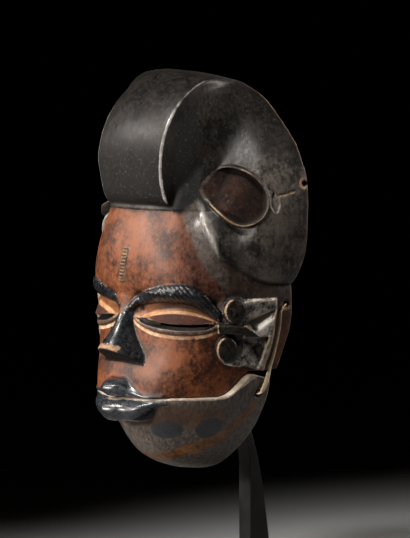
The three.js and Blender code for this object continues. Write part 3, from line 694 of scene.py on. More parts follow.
def new_piece(name, points, faces, body, slot, *nodes):
    """A mesh object at its place, riding on a body and standing for the solid nodes."""
    mesh = bpy.data.meshes.new(name)
    mesh.from_pydata([tuple(p) for p in points], [], [tuple(f) for f in faces])
    mesh.validate()
    mesh.shade_smooth()
    piece = bpy.data.objects.new(name, mesh)
    bpy.context.scene.collection.objects.link(piece)
    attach(piece, body)
    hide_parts(*nodes)
    return piece


def with_modifier(piece, kind, **settings):
    """One modifier worked into the mesh for good."""
    modifier = piece.modifiers.new(kind.lower(), kind)
    for name, value in settings.items():
        setattr(modifier, name, value)
    shaped = bpy.data.meshes.new_from_object(piece.evaluated_get(bpy.context.evaluated_depsgraph_get()))
    piece.modifiers.clear()
    piece.data = shaped


def carved(name, depth, low, high, touches, body, slot, node):
    """A carved piece from its depth, with marks added along the outward way."""
    points, faces = skinned(*sampled(depth, low, high, GRID))
    points = settled(depth, points, GRID)
    way, _ = outward(depth, points, 0.6)
    points = points + way * touches(points)[:, None]
    piece = new_piece(name, in_scene(points), faces, body, slot, node)
    triangles = 2 * len(faces)
    if triangles > MOST_FACES:
        with_modifier(piece, "DECIMATE", ratio=MOST_FACES / triangles, use_collapse_triangulate=True)
    piece.data.shade_smooth()
    print(name, "faces", len(piece.data.polygons), "from", triangles)
    return piece


print("grid mm", GRID)

# %% [markdown]
# The mask itself. Besides the knife marks, the brows are notched along their edges like a rope, the bosses
# and the ear's bar are cross-cut, and the scar is notched like a ladder. The marks are faint on the eyelids,
# which are scraped smooth.

# %% Mask
NOTCH_PITCH = 2.15


def brow_inside(s, z):
    """Millimetres inside the brow's outline."""
    across = brow_half(s) * (1 - np.abs((z - brow_line(s)) / brow_half(s)))
    return np.minimum(across, np.minimum(s - BROW_OUTER - 1, BROW_INNER + 2 - s))


def mask_touches(points):
    x, y, z = points.T
    s = round_the_side(x, y)
    marks = knife_marks(points)
    on_brow = ease(brow_inside(s, z) / 1.5 + 0.5)
    strands = np.sin(2 * pi * (0.75 * s + 0.65 * z) / 2.3 + 1.5 * wander(points, 7, 31))
    marks = marks + on_brow * (0.35 * wander(points, (2.6, 2.6, 2.2), 23) + 0.2 * strands)
    along, slit, upper, _ = eye_lines(s)
    lids = (np.abs(along) < 1.1) & (z > slit - 7) & (z < upper + 2) & (y < 0)
    marks = marks * np.where(lids, 0.25, 1)
    outside = y < REAR - 3
    cross_cut = np.sin(2 * pi * (z + 0.5 * s) / 2.6) * np.sin(2 * pi * (s - 0.4 * z) / 2.9)
    for boss in BOSSES:
        marks = marks + 0.28 * cross_cut * outside * ease((1 - boss_reach(s, z, boss)) * 6)
    marks = marks + 0.22 * cross_cut * outside * ear_bar(s, z)
    notch = ease((0.55 - np.abs((z % NOTCH_PITCH) / NOTCH_PITCH - 0.5) * 2) / 0.4)
    on_scar = ease((scar_across(x, z) - 0.4) / 0.8) * (z < SCAR_TOP - 1) * (z > SCAR_FOOT + 0.5) * (y < -40)
    return marks - 0.9 * notch * on_scar


mask = carved("mask_carved", mask_block, (-92, -84, -4), (92, 24, 260), mask_touches,
              "head", "carved_wood", "mask")

# %% [markdown]
# The jaw is a second piece, a trough of the same wood that laps just under the mask's edge and swings on the
# two tie holes. Its lower lip closes against the upper one.

# %% Jaw
TIE_HOLE = ((70, 0, 54), (40, 0, 54), 2.6)
JAW_WALL, JAW_MARKS = 6.0, 0.8

jaw_half = Curve([0, 20], [4, 27], [10, 33.5], [18, 40], [28, 47.5], [38, 54.5], [50, 61], [60, 64],
                 [70, 65.5])
jaw_front = Curve([0, -17.5], [4, -26.5], [8, -34], [12, -39.5], [18, -44.5], [24, -48], [33, -52.5],
                  [42, -58.5], [50, -64], [70, -64.5])


def jaw_shell(x, y, z, grow):
    return squarish_oval(x, y, jaw_half(z) + grow, 12 - jaw_front(z) + grow, 2.3, 2.1, 12)


def jaw_trough(x, y, z):
    """Millimetres outside the scooped-out middle, which stops above the chin."""
    return both(jaw_shell(x, y, z, -JAW_WALL), 7 - z, 6)


def jaw_back(z):
    """How far the jaw's back is drawn in towards the chin."""
    return 0.012 * np.maximum(34 - z, 0) ** 2


def jaw_block(x, y, z):
    d = both(jaw_shell(x, y, z, 0), 0.6 - z, 6)
    d = joined(d, lower_lip(x, y, z), 2)
    d = both(d, -jaw_trough(x, y, z), 1.5)
    d = both(d, z - parting(y) + 0.4 + 0.3 * np.maximum(y + 8, 0), 0.8)
    d = both(d, y - 9 + jaw_back(z), 3)
    return both(d, -bored(x, y, z, TIE_HOLE), 0.5)


jaw = carved("jaw_carved", jaw_block, (-72, -84, -4), (72, 16, 72), lambda p: JAW_MARKS * knife_marks(p),
             "lower_jaw", "jaw_wood", "jaw")

# %% [markdown]
# The jaw hangs on two strips of split cane. Each comes out of the low hole in the mask's rim, thin, runs
# down behind the ear, widens, and turns in through the jaw's hole, where it is knotted. A strip is built as
# a row of rounded cross-sections set along its path, each just off the wood. Cane splits unevenly, so the
# width wavers a little.

# %% Cane ties
def skin_away(y, z):
    """How far out the mask or jaw reaches at that depth and height, or 60 where neither does."""
    x = np.arange(95.0, 55.0, -0.1)
    wood = np.minimum(mask_block(x, np.full_like(x, y), np.full_like(x, z)),
                      jaw_block(x, np.full_like(x, y), np.full_like(x, z)))
    return float(x[np.argmax(wood < 0.05)]) if wood.min() < 0.05 else 60.0


def swept(rings):
    """Points and faces of a skin over a row of equal rings, closed at both ends."""
    count = len(rings[0])
    faces = []
    for i in range(len(rings) - 1):
        for j in range(count):
            k = (j + 1) % count
            faces.append((i * count + j, i * count + k, (i + 1) * count + k, (i + 1) * count + j))
    faces.append(tuple(range(count))[::-1])
    faces.append(tuple((len(rings) - 1) * count + j for j in range(count)))
    return [p for ring in rings for p in ring], faces


tie_y = Curve([54, 0], [60, 3.4], [68, 6.8], [76, 8.3], [88, 9.2], [98, 9.8], [107, 10.4], [110.5, 15])
tie_half_wide = Curve([52, 1.2], [58, 1.5], [68, 1.35], [80, 0.95], [92, 0.65], [110.5, 0.5])


def tie_path():
    """The strip's middle line from inside the jaw's hole up to inside the rim's hole."""
    heights = np.linspace(56.5, 107.0, 26)
    reach = np.array([max(skin_away(float(tie_y(z)), z + dz) for dz in (-2.5, 0, 2.5)) for z in heights])
    reach = np.convolve(np.pad(reach, 2, mode="edge"), np.ones(5) / 5, mode="valid") + 1.1
    line = [(x, float(tie_y(z)), z) for x, z in zip(reach, heights)]
    foot, head = reach[0], reach[-1]
    jaw_end = [(foot - 12, 0, 53.8), (foot - 6, 0, 53.8), (foot - 1.8, 0.1, 54), (foot - 0.4, 0.5, 55)]
    rim_end = [(head + 0.1, 12.6, 109.8), (head - 0.4, 14.4, 110.4), (head - 2, 15.6, 110.7),
               (head - 9, 15, 110.6)]
    return [Vector(p) for p in jaw_end + line + rim_end]


def tie_rings(side):
    """Rounded cross-sections along the path; side is 1 for the mask's left and -1 for its right."""
    path = tie_path()
    rings = []
    for i, p in enumerate(path):
        along = (path[min(i + 1, len(path) - 1)] - path[max(i - 1, 0)]).normalized()
        wide_way = along.cross(Vector((1, 0, 0.35))).normalized()
        thick_way = wide_way.cross(along).normalized()
        half = float(tie_half_wide(p.z)) * (1 + 0.07 * sin(i * 1.7) + 0.05 * sin(i * 0.9 + 1))
        thick = 0.62 + 0.05 * sin(i * 1.3)
        ring = [p + wide_way * half * cos(a) * (1 + 0.12 * cos(2 * a)) + thick_way * thick * sin(a)
                for a in np.linspace(0, 2 * pi, 14, endpoint=False)]
        rings.append([(side * v.x, v.y, v.z) for v in (ring if side > 0 else ring[::-1])])
    return rings


for side, name in ((1, "left"), (-1, "right")):
    points, faces = swept(tie_rings(side))
    tie = new_piece(f"cane_tie_{name}", in_scene(points), faces, "head", "split_cane", f"jaw_tie_{name}")
    with_modifier(tie, "SUBSURF", levels=2)
    tie.data.shade_smooth()
    print(tie.name, "faces", len(tie.data.polygons))

# %% [markdown]
# The stand is a bar of black steel, thick at the foot and forged thinner as it leans forward into the hollow,
# where a flat cross strap takes the mask's weight. The foot is a plain plate. Bars and plates have flat
# faces and small even edges, so they are made from outlines and given a Bevel modifier.

# %% Stand
POST_FOOT, POST_TOP, POST_WIDE = -82.7, 134.0, 12.0
STRAP_HALF, STRAP_Y, STRAP_Z, STRAP_THICK, STRAP_TALL = 56.5, 0.2, 127.0, 4.5, 14.0

post_front = Curve([-83, 42.6], [-20, 42.4], [0, 41.8], [20, 38], [50, 30], [80, 19.5], [110, 7.5], [134, -2])
post_deep = Curve([-83, 19], [-55, 16.6], [-22, 11.6], [0, 7.6], [20, 5.2], [50, 4.5], [80, 4.5], [134, 4.5])


def post_rings():
    half = POST_WIDE / 2
    rings = []
    for z in np.linspace(POST_FOOT, POST_TOP, 60):
        near, far = float(post_front(z)), float(post_front(z) + post_deep(z))
        rings.append([(-half, near, z), (half, near, z), (half, far, z), (-half, far, z)])
    return rings


def strap_rings():
    low, high = STRAP_Z - STRAP_TALL / 2, STRAP_Z + STRAP_TALL / 2
    near, far = STRAP_Y - STRAP_THICK / 2, STRAP_Y + STRAP_THICK / 2
    rings = []
    for x in np.linspace(-STRAP_HALF, STRAP_HALF, 24):
        rings.append([(x, near, low), (x, far, low), (x, far, high), (x, near, high)])
    return rings


def eased_edges(piece, width_mm):
    with_modifier(piece, "BEVEL", width=width_mm / 1000, segments=3, limit_method="ANGLE",
                  angle_limit=radians(50))
    with_modifier(piece, "WEIGHTED_NORMAL", keep_sharp=True)


post_points, post_faces = swept(post_rings())
strap_points, strap_faces = swept(strap_rings())
joined_faces = post_faces + [tuple(i + len(post_points) for i in face) for face in strap_faces]
post = new_piece("post_and_strap", in_scene(post_points + strap_points), joined_faces,
                 "head", "black_steel", "stand_post")
eased_edges(post, 0.7)
print(post.name, "faces", len(post.data.polygons))

# %% [markdown]
# The foot is cut from thick plate, with its four corners rounded. Its outline is stretched upright into a
# slab, and the same bevel eases its edges. It lies flat on the table, so its underside is at zero height.

# %% Foot plate
PLATE_WIDE, PLATE_DEEP, PLATE_THICK, PLATE_CORNER = 110.0, 120.0, 12.0, 6.0


def plate_outline():
    outline = []
    for quarter, (sx, sy) in enumerate(((1, 1), (-1, 1), (-1, -1), (1, -1))):
        for a in np.linspace(quarter * pi / 2, (quarter + 1) * pi / 2, 9):
            outline.append((sx * (PLATE_WIDE / 2 - PLATE_CORNER) + PLATE_CORNER * cos(a),
                            sy * (PLATE_DEEP / 2 - PLATE_CORNER) + PLATE_CORNER * sin(a)))
    return outline


plate_points, plate_faces = swept([[(x, y, z) for x, y in plate_outline()] for z in (0.0, PLATE_THICK)])
plate = new_piece("foot_plate", np.array(plate_points) / 1000, plate_faces,
                  "head", "black_steel", "stand_base")
eased_edges(plate, 0.9)
print(plate.name, "faces", len(plate.data.polygons))

# %% [markdown]
# Before any colour goes on, each carved piece needs to know where its paint lies. A painter follows the
# carving: the black stops at the brow's edge, the stain at the hair's. So for every corner point the script
# stores how many millimetres it lies inside each painted place, below nothing outside it. The materials
# then turn that into an edge as crisp or as ragged as the real one. A painted image would need unwrapping
# and would blur; a distance stays sharp however close one looks. Two more numbers are stored: one says how
# much an edge stands out, since edges are rubbed bare first, and one how deep a corner lies, which is
# darkened with grime and painted shade.

# %% Keeping a painted place
NOWHERE, FURTHEST = -9.0, 20.0
EDGE_REACH, CORNER_REACH = 1.5, 4.5


def only(there, inside):
    """The millimetres inside where the place may be, and well outside it elsewhere."""
    return np.where(there, inside, NOWHERE)


def least(*limits):
    """Millimetres inside a place that has several limits: the nearest of them counts."""
    return np.minimum.reduce(np.broadcast_arrays(*limits))


def bulge(depth, points, reach):
    """Above nothing on an edge that stands out, below it in a corner or groove, about 1 at the sharpest."""
    total = np.zeros(len(points), np.float32)
    for axis in range(3):
        for way in (-reach, reach):
            near = points.copy()
            near[:, axis] += way
            total += depth(*near.T)
    return (total / 6 - depth(*points.T)) / reach * 3


def keep_places(piece, depth, places, held=lambda points: 0.0):
    """places gives the painted places' distances, held how much less the edges are rubbed there."""
    spots = in_mask(points_of(piece)).astype(np.float32)
    numbers = places(spots)
    numbers["edge"] = bulge(depth, spots, EDGE_REACH) - held(spots)
    numbers["cavity"] = -bulge(depth, spots, CORNER_REACH)
    for name, number in numbers.items():
        stored = piece.data.attributes.new(name, "FLOAT", "POINT")
        stored.data.foreach_set("value", np.clip(number, -FURTHEST, FURTHEST).astype(np.float32))
    print(piece.name, "has", len(numbers), "numbers at each of", len(spots), "points")


print("2 mm from one edge and 5 mm from another is", least(2.0, 5.0), "mm inside")

# %% [markdown]
# The face comes first: the red-brown stain, with a darker coat towards the hair, which is partly darker stain
# and partly painted shade where the forehead turns away from the lamps, and darker still on the temple; then
# what is painted on it. The lids have pale rims, the ball between them is dark, and the brows, the nose and
# the lips are black.

# %% Places on the face
nose_paint = Curve([70, 23], [78.3, 21.6], [85.6, 17], [96, 10.6], [102.6, 11.9], [108, 15], [114, 18])


def eye_places(s, z):
    along, slit, upper, lower = eye_lines(s)
    ends = (1.06 - np.abs(along)) * EYE_HALF
    under_brow = brow_line(s) - brow_half(s) - z + 1
    return {
        "socket": least(z - slit, under_brow, ends),
        "lid_rim": least(2.2 - np.abs(z - upper + 0.6), z - slit, ends - 0.5),
        "ball": least((0.8 - (z - slit) / np.maximum(upper - slit, 0.5)) * 9, ends - 2, z - slit + 1),
        # a pale band under the lower lid: cream paint, and a painted highlight where it faces up towards the
        # lamps
        "under_lid": least(1.3 - np.abs(z - lower + 1.1), ends + 1),
        "lower_lid": least(slit + 0.5 - z, z - lower + 0.2, ends - 0.4),
        # the walls of the cut slit are painted near black: painted shade in the gap
        "slit": 2.1 * slit_share(along) - np.abs(z - slit + 0.2),
    }


def face_places(x, y, z):
    s = round_the_side(x, y)
    bare = bare_face(x, y, z)
    proud = bare - nose(x, y, z)
    lip_proud = joined(bare, nose(x, y, z), 2) - upper_lip(x, y, z)
    tip = nose_tip(y)
    notch = 0.62 - 1.3 * np.abs((z % NOTCH_PITCH) / NOTCH_PITCH - 0.5) * 2
    across = scar_across(x, z)
    on_front = y < -40
    return {
        "skin": REAR - 2 - y,
        # darker stain, and painted shade where the forehead turns away from the lamps
        "dusk": least((s + 8) * 0.35, (z - 116) * 0.3),
        "temple": least((s - 15) * 0.5, z - 107, REAR - y) * 0.6,
        "brow": only(y < 0, brow_inside(s, z) + 0.5),
        "nose": least(nose_paint(z) - np.abs(x), proud + 1.2, 103 + 0.9 * np.abs(x) - z),
        # the nose's underside: black paint, made blacker still as painted shade
        "nostrils": least(tip + 0.5 - z, proud - 0.4, z - 64),
        "nose_chips": least(2.4 - np.abs(z - tip - 2.6), -60 - y, 10 - np.abs(x)),
        "lip": least(lip_proud, 33 - np.abs(x)),
        "scar": only(on_front, least(across + 0.2, SCAR_TOP - z, z - SCAR_FOOT)),
        "scar_notch": only(on_front, least(across - 0.7, notch, SCAR_TOP - 0.5 - z, z - SCAR_FOOT - 0.5)),
    }


print("nose paint wide mm", round(2 * float(nose_paint.value.max()), 1))

# %% [markdown]
# The ear's plates are silvery where the black has been rubbed away; its bosses, bar and wedge keep theirs.
# The middle facet is near white, partly rubbed and partly a painted highlight where it faces the lamps.
# Behind the ear a strip of bare brown wood runs down to the jaw.

# %% Places on the ear
def ear_places(s, z):
    bosses = np.maximum.reduce([(1 - boss_reach(s, z, boss)) * 8 for boss in BOSSES])
    bar = least(3.8 - np.abs(z - bar_level(s)), s - 13, 33.5 - s)
    places = {
        "bare_strip": least(s - ear_back(z) - 0.3, z - 60, 118 - z),
        "ear_plate": ear_edge(s, z),
        # near white: rubbed, and a painted highlight where the facet faces the lamps
        "ear_facet": least(ear_groove(s) - z, z - 90.5 + 0.1 * (s - 40), ear_inner(z) - s - 1, s - 33),
        "ear_black": np.maximum.reduce([bosses, bar, 7 * ear_wedge(s, z)[1] - 3.5]),
    }
    return {name: only(z < BELOW_HAIR, inside) for name, inside in places.items()}


print("ear paint stops at mm", BELOW_HAIR)

# %% [markdown]
# The hair is sooty black. It is painted blacker still in the corner beside the crest, under the crest's roll
# and at the crest's foot: painted shadow and painted shade. It is silvery on the flank below the curl's tip,
# on its ridge and on the crest's sharp edges, partly worn and partly painted highlight; on the ridge it is
# mostly painted highlight. The dish is bare brown with a paler rim. A few upright scratches show by the rear
# edge.
# The chip, the crack and the holes' mouths show paler wood.

# %% Places on the hair and the back
SCRATCHES = ((58.3, 132, 144), (66.0, 126, 141), (62.5, 134, 139))
CREST_SIDE = CREST_HALF + 0.5


def scratch_inside(s, z):
    """Each scratch is given by how far round it is, its foot and its top."""
    return np.maximum.reduce([least(0.45 - np.abs(s - at - 0.03 * (z - foot)), z - foot, top - z)
                              for at, foot, top in SCRATCHES])


def hair_places(x, y, z):
    s = round_the_side(x, y)
    ax = np.abs(x)
    tip_line = 168 + 0.83 * np.clip(s + 9.5, 0, 11.5)
    foot = np.where(ax < CREST_SIDE, 178, 172 + 0.75 * np.clip(s + 9, 0, 9) - 3 * np.clip(s, 0, 4))
    black = np.maximum(face(x, y, z) - hair(x, y, z) + 0.3, z - foot)
    # painted shadow: blacker beside the crest, where the crest shades the hair, and under the crest's roll
    corner = np.where(ax > CREST_SIDE, least(2 - s, (z - tip_line) * 0.77), least(black, (186 - z) * 0.5))
    # where the curl's flank is painted silvery: partly rubbed black and partly painted highlight
    rubbed = least(7 - np.abs(above_curl_edge(s, z) - 4.5), tip_line - z, (18 - s) * 0.5)
    on_ridge = 2.2 - 0.5 * np.abs(z - ridge_line(s) - 1.5)
    sharp = np.hypot(CREST_HALF - 0.6 - ax, crown(x, y, z, 0) + 0.6) + 0.5 * ease((z - 225) / 20)
    return {
        "hairline": only(y < -30, least(z - HAIRLINE + 0.1, CREST_SIDE - ax)),
        "hair": only(z > 100, black),
        "curl": only(z > 100, least(black, (curl_share(s, z) - 0.5) * 16, (s - 30) * 0.4)),
        "flank": least(rubbed, s + 7 + np.maximum(168 - z, 0)),
        "corner": corner,
        # the ridge's pale coat is painted highlight, with some rubbing
        "ridge": only(z > 140, least(on_ridge, (173 - z) * 0.5, 13 - s)),
        # painted shade on the low part of the crest's roll, which turns down away from the lamps
        "crest_foot": only(ax < CREST_SIDE, least(black, (212 - z) * 0.5, -30 - y)),
        # pale line on the crest's sharp edges: worn paint and painted highlight
        "crest_edge": least(0.8 - sharp, z - 172),
        "scratches": only((x > 0) & (z > 100), scratch_inside(s, z)),
    }


def cut_places(x, y, z):
    s = round_the_side(x, y)
    out = dish_outline(s, z)
    high_mouth = 1.3 - np.abs(bored(x, y, z, HIGH_HOLE) - 1.0) * 1.3
    crack = 0.45 + 0.35 * ease((s - 52) / 9) - crack_away(s, z)
    low_mouth = least(2.0 - bored(x, y, z, LOW_HOLE), 109.5 - z)
    return {
        "dish": -out - 0.4,
        "rim": only(z > 140, 1.0 - np.abs(out - 0.5)),
        "flake": only(x > 0, flake_inside(s, z)),
        "broken": only(x > 0, np.maximum.reduce([high_mouth, crack, low_mouth])),
        "inside": np.maximum(1.8 - np.abs(hollow(x, y, z)), y - back_plane(z) + 1.4),
    }


print("scratches", len(SCRATCHES))

# %% [markdown]
# Some edges are rubbed less, or not at all, and stay darker: round the dish and most on its upper side, on
# the ear's bar and wedge, on the bosses except at their front rims, at the nose's tip, on the right curl and
# at the back. They are listed next, and then all of the mask's numbers are stored.

# %% Edges that stayed dark, and storing it all
def kept_dark(points):
    """How much less the edges are rubbed there: round the dish, on the ear's bar and bosses, at the nose's
    tip, on the right curl and at the back."""
    x, y, z = points.T
    s = round_the_side(x, y)
    upper = ease((z - 172 + 0.6 * (s - 25)) / 14)
    held = (0.45 + 0.75 * upper) * ease((4 - np.abs(dish_outline(s, z))) / 2) * (z > 140)
    bar = least(3.8 - np.abs(z - bar_level(s)), s - 13, 41 - s)
    held = held + 1.2 * ease((bar + 1.6) / 1.2) * (z < BELOW_HAIR)
    for boss in BOSSES:
        near = ease((1.25 - boss_reach(s, z, boss)) / 0.1)
        held = held + 2.5 * near * ease((s - boss[0] + 4) / 5)
    nose_end = ease((z - 66) / 3) * ease((86 - z) / 3) * (y < -58)
    far_lobe = (x < -40) * ease((z - 150) / 6) * ease((190 - z) / 6)
    return held + 0.9 * nose_end + 6 * far_lobe + 0.8 * (z > 120) * ease(y / 6)


def mask_places(points):
    x, y, z = points.T
    s = round_the_side(x, y)
    return {**face_places(x, y, z), **eye_places(s, z), **ear_places(s, z), **hair_places(x, y, z),
            **cut_places(x, y, z)}


keep_places(mask, mask_block, mask_places, kept_dark)

# %% [markdown]
# The jaw has fewer places: a pale worn line along its top edge, the black lower lip, a brown band that climbs
# towards the hole, brown showing through above it, and two dark ovals. A paler strip along its bottom edge is
# a painted highlight where light from the floor catches it.

# %% Where the paint lies on the jaw
OVALS = ((-17.9, 30.7, 10.0, 6.0, 0.1), (8.4, 32.0, 9.0, 6.2, 0.5))

band_line = Curve([-40, 6], [-23.6, 9.3], [-9.4, 15], [6.3, 20.1], [17.6, 25.8], [25.3, 33.9], [32.2, 39.9],
                  [50, 60])


def oval_inside(s, z, oval):
    """An oval is how far round it lies, its height, its long and short half, and its turn."""
    s0, z0, long, short, turn = oval
    c, q = cos(turn), sin(turn)
    ds, dz = s - s0, z - z0
    return (1 - np.hypot((ds * c + dz * q) / long, (dz * c - ds * q) / short)) * short


def jaw_places(points):
    x, y, z = points.T
    s = round_the_side(x, y)
    worn = 1.4 + 0.6 * ease((s + 25) / 30) + 2.2 * ease((s - 24) / 10)
    return {
        "brown_side": least(z - 33, 47 - z, s + 40, 22 - s) * 0.6,
        "brown_band": least(3.4 - np.abs(z - band_line(s)) * 0.85, s + 30, 38 - s),
        "oval": np.maximum.reduce([oval_inside(s, z, oval) for oval in OVALS]),
        "lip": least(jaw_shell(x, y, z, 0) - lower_lip(x, y, z) + 0.3, 35 - np.abs(x)),
        "top_line": least(z - parting(y) + worn, 38.6 - s),
        # painted highlight along the bottom edge, where light from the floor catches it
        "under": 4 - z,
        "inside": np.maximum(1.6 - np.abs(jaw_trough(x, y, z)), y - 7.6 + jaw_back(z)),
    }


keep_places(jaw, jaw_block, jaw_places)

# %% [markdown]
# Colours are picked as screen values, two hex digits for each of red, green and blue. Blender mixes light,
# not screen values, so each one is turned to linear first. Every node is added by one small function that
# takes the kind of node, what goes into its inputs, which output is wanted, and its settings. It gives back
# that output, so one node can go straight into the next.

# %% Colours and nodes
NOISE, MIX, MATHS, RANGE = "ShaderNodeTexNoise", "ShaderNodeMix", "ShaderNodeMath", "ShaderNodeMapRange"
SPOT, STRETCH, PLACE = "ShaderNodeTexCoord", "ShaderNodeVectorMath", "ShaderNodeAttribute"
BUMP, SHADER, OUTPUT = "ShaderNodeBump", "ShaderNodeBsdfPrincipled", "ShaderNodeOutputMaterial"
COLOURS = {"out": 2, "data_type": "RGBA"}
SOFT_STEP = {"interpolation_type": "SMOOTHSTEP"}
TIMES_PLUS = {"operation": "MULTIPLY_ADD"}
MM = 0.001


def linear(hex_colour):
    screen = [int(hex_colour[i:i + 2], 16) / 255 for i in (1, 3, 5)]
    return tuple(v / 12.92 if v <= 0.04045 else ((v + 0.055) / 1.055) ** 2.4 for v in screen) + (1.0,)


def patches_of(size_mm):
    """The noise scale that makes patches about that many millimetres across."""
    return 0.5 / (MM * size_mm)


def add(tree, kind, inputs=None, out=0, **settings):
    node = tree.nodes.new(kind)
    for name, value in settings.items():
        setattr(node, name, value)
    for key, value in (inputs or {}).items():
        if isinstance(value, bpy.types.NodeSocket):
            tree.links.new(value, node.inputs[key])
        else:
            node.inputs[key].default_value = value
    return node.outputs[out] if node.outputs else node


def fresh_material(name):
    material = bpy.data.materials.new(name)
    material.use_nodes = True
    material.node_tree.nodes.clear()
    return material, material.node_tree


print("mid grey is", round(linear("#808080")[0], 3), "of white light; 3 mm patches need scale", patches_of(3))

# %% [markdown]
# Painted wood is built up as the maker did it. Bare wood comes first, with grain that runs up the block: the
# real pores are a tenth of a millimetre wide, too fine to show, so the streaks are drawn about a millimetre
# wide and nine long. Then each coat goes over the last, be it stain, chalky cream, soot black, painted
# highlight or painted shade. A coat's edge wanders a little, its colour is uneven in patches, and it has its
# own gloss, because soot bound with sap shines and rubbed stain doesn't: the shiniest coats also get a clear
# layer on top. The brows and the black parts of the ear are left rough from the tool. Last come the years:
# grey specks of dust and edges rubbed to pale wood, and the corners are darkened with grime and painted
# shade.

# %% Painted wood
GRAIN_WIDE, GRAIN_LONG, FINE_MM, RAGGED_MM, SPECK_MM = 0.9, 9.0, 1.3, 3.0, 0.9
WOOD_IOR, SAP_IOR, SAP_ROUGHNESS = 1.5, 1.5, 0.26
SAP_FROM, SAP_FULL = 0.36, 0.30
UNTOOLED, CUT_BY_TOOL = 0.5, 3.0
TOOLED = ("brow", "ear_black")
DUST, SPECK_SHARE = "#8d857c", 0.16
EDGE_WANDER, EDGE_SHARE = 0.9, 0.85
# grime and painted shade in the corners and grooves
DIRT, DIRT_WANDER, DIRT_FROM, DIRT_FULL, DIRT_SHARE = "#100c0a", 0.4, 0.1, 0.7, 0.7


def share_of(tree, ragged, where, wander, low, high, most):
    """How much of a coat shows: none below low, the most of it above high, by an edge that wanders."""
    inside = add(tree, PLACE, out="Fac", attribute_name=where)
    inside = add(tree, MATHS, {0: ragged, 1: wander, 2: inside}, **TIMES_PLUS)
    return add(tree, RANGE, {0: inside, 1: low, 2: high, 4: most}, **SOFT_STEP)


def painted_wood(name, wood, coats, rubbed, relief):
    """wood is (dark, light, roughness), rubbed is (pale colour, edge that starts to show, edge fully bare),
    relief is the grain's depth in mm. A coat is (place, how far its edge wanders in mm, how soft the edge is
    in mm, dark, light, patch size in mm, roughness, how well it covers, how it streaks along the grain)."""
    material, tree = fresh_material(name)
    spot = add(tree, SPOT, out="Object")
    upright = add(tree, STRETCH, {0: spot, 1: (1, 1, GRAIN_WIDE / GRAIN_LONG)}, operation="MULTIPLY")
    streaks = add(tree, NOISE, {"Vector": upright, "Scale": patches_of(GRAIN_WIDE), "Detail": 4.0,
                                "Roughness": 0.65})
    fine = add(tree, NOISE, {"Vector": spot, "Scale": patches_of(FINE_MM), "Detail": 4.0, "Roughness": 0.7})
    broad = add(tree, NOISE, {"Vector": spot, "Scale": patches_of(RAGGED_MM), "Detail": 4.0,
                              "Roughness": 0.6})
    ragged, fine_off, streaks_off = [add(tree, MATHS, {0: v, 1: 0.5}, operation="SUBTRACT")
                                     for v in (broad, fine, streaks)]
    grain = add(tree, RANGE, {0: streaks, 1: 0.35, 2: 0.65}, **SOFT_STEP)
    colour = add(tree, MIX, {0: grain, 6: linear(wood[0]), 7: linear(wood[1])}, **COLOURS)
    gloss = wood[2]
    tooled = UNTOOLED
    for where, wander_mm, soft_mm, dark, light, patch_mm, rough, cover, streaky in coats:
        share = share_of(tree, ragged, where, 4 * wander_mm, -soft_mm / 2, soft_mm / 2, cover)
        patches = add(tree, NOISE, {"Vector": spot, "Scale": patches_of(patch_mm), "Detail": 6.0,
                                    "Roughness": 0.7})
        patches = add(tree, MATHS, {0: fine_off, 1: 0.6, 2: patches}, **TIMES_PLUS)
        patches = add(tree, MATHS, {0: streaks_off, 1: streaky, 2: patches}, **TIMES_PLUS)
        patches = add(tree, RANGE, {0: patches, 1: 0.32, 2: 0.68}, **SOFT_STEP)
        coat = add(tree, MIX, {0: patches, 6: linear(dark), 7: linear(light)}, **COLOURS)
        colour = add(tree, MIX, {0: share, 6: colour, 7: coat}, **COLOURS)
        gloss = add(tree, MIX, {0: share, 2: gloss, 3: rough})
        if where in TOOLED:
            tooled = add(tree, MIX, {0: share, 2: tooled, 3: CUT_BY_TOOL})
    specks = add(tree, NOISE, {"Vector": spot, "Scale": patches_of(SPECK_MM), "Detail": 2.0,
                               "Roughness": 0.5})
    specks = add(tree, RANGE, {0: specks, 1: 0.58, 2: 0.74, 4: SPECK_SHARE}, **SOFT_STEP)
    colour = add(tree, MIX, {0: specks, 6: colour, 7: linear(DUST)}, **COLOURS)
    pale, starts, bare = rubbed
    edge = share_of(tree, ragged, "edge", EDGE_WANDER, starts, bare, EDGE_SHARE)
    colour = add(tree, MIX, {0: edge, 6: colour, 7: linear(pale)}, **COLOURS)
    # darker in corners and grooves: grime and painted shade
    dirt = share_of(tree, ragged, "cavity", DIRT_WANDER, DIRT_FROM, DIRT_FULL, DIRT_SHARE)
    colour = add(tree, MIX, {0: dirt, 6: colour, 7: linear(DIRT)}, **COLOURS)
    polish = add(tree, RANGE, {0: gloss, 1: SAP_FROM, 2: SAP_FULL}, **SOFT_STEP)
    gloss = add(tree, MATHS, {0: fine_off, 1: 0.45, 2: gloss}, **TIMES_PLUS)
    height = add(tree, MATHS, {0: fine, 1: tooled}, operation="MULTIPLY")
    height = add(tree, MATHS, {0: streaks, 1: height}, operation="ADD")
    bump = add(tree, BUMP, {"Height": height, "Strength": 1.0, "Distance": relief * MM})
    shader = add(tree, SHADER, {"Base Color": colour, "Roughness": gloss, "Normal": bump, "IOR": WOOD_IOR,
                                "Coat Weight": polish, "Coat Roughness": SAP_ROUGHNESS, "Coat IOR": SAP_IOR})
    add(tree, OUTPUT, {"Surface": shader})
    return material


print("grain streaks mm", GRAIN_WIDE, "by", GRAIN_LONG)
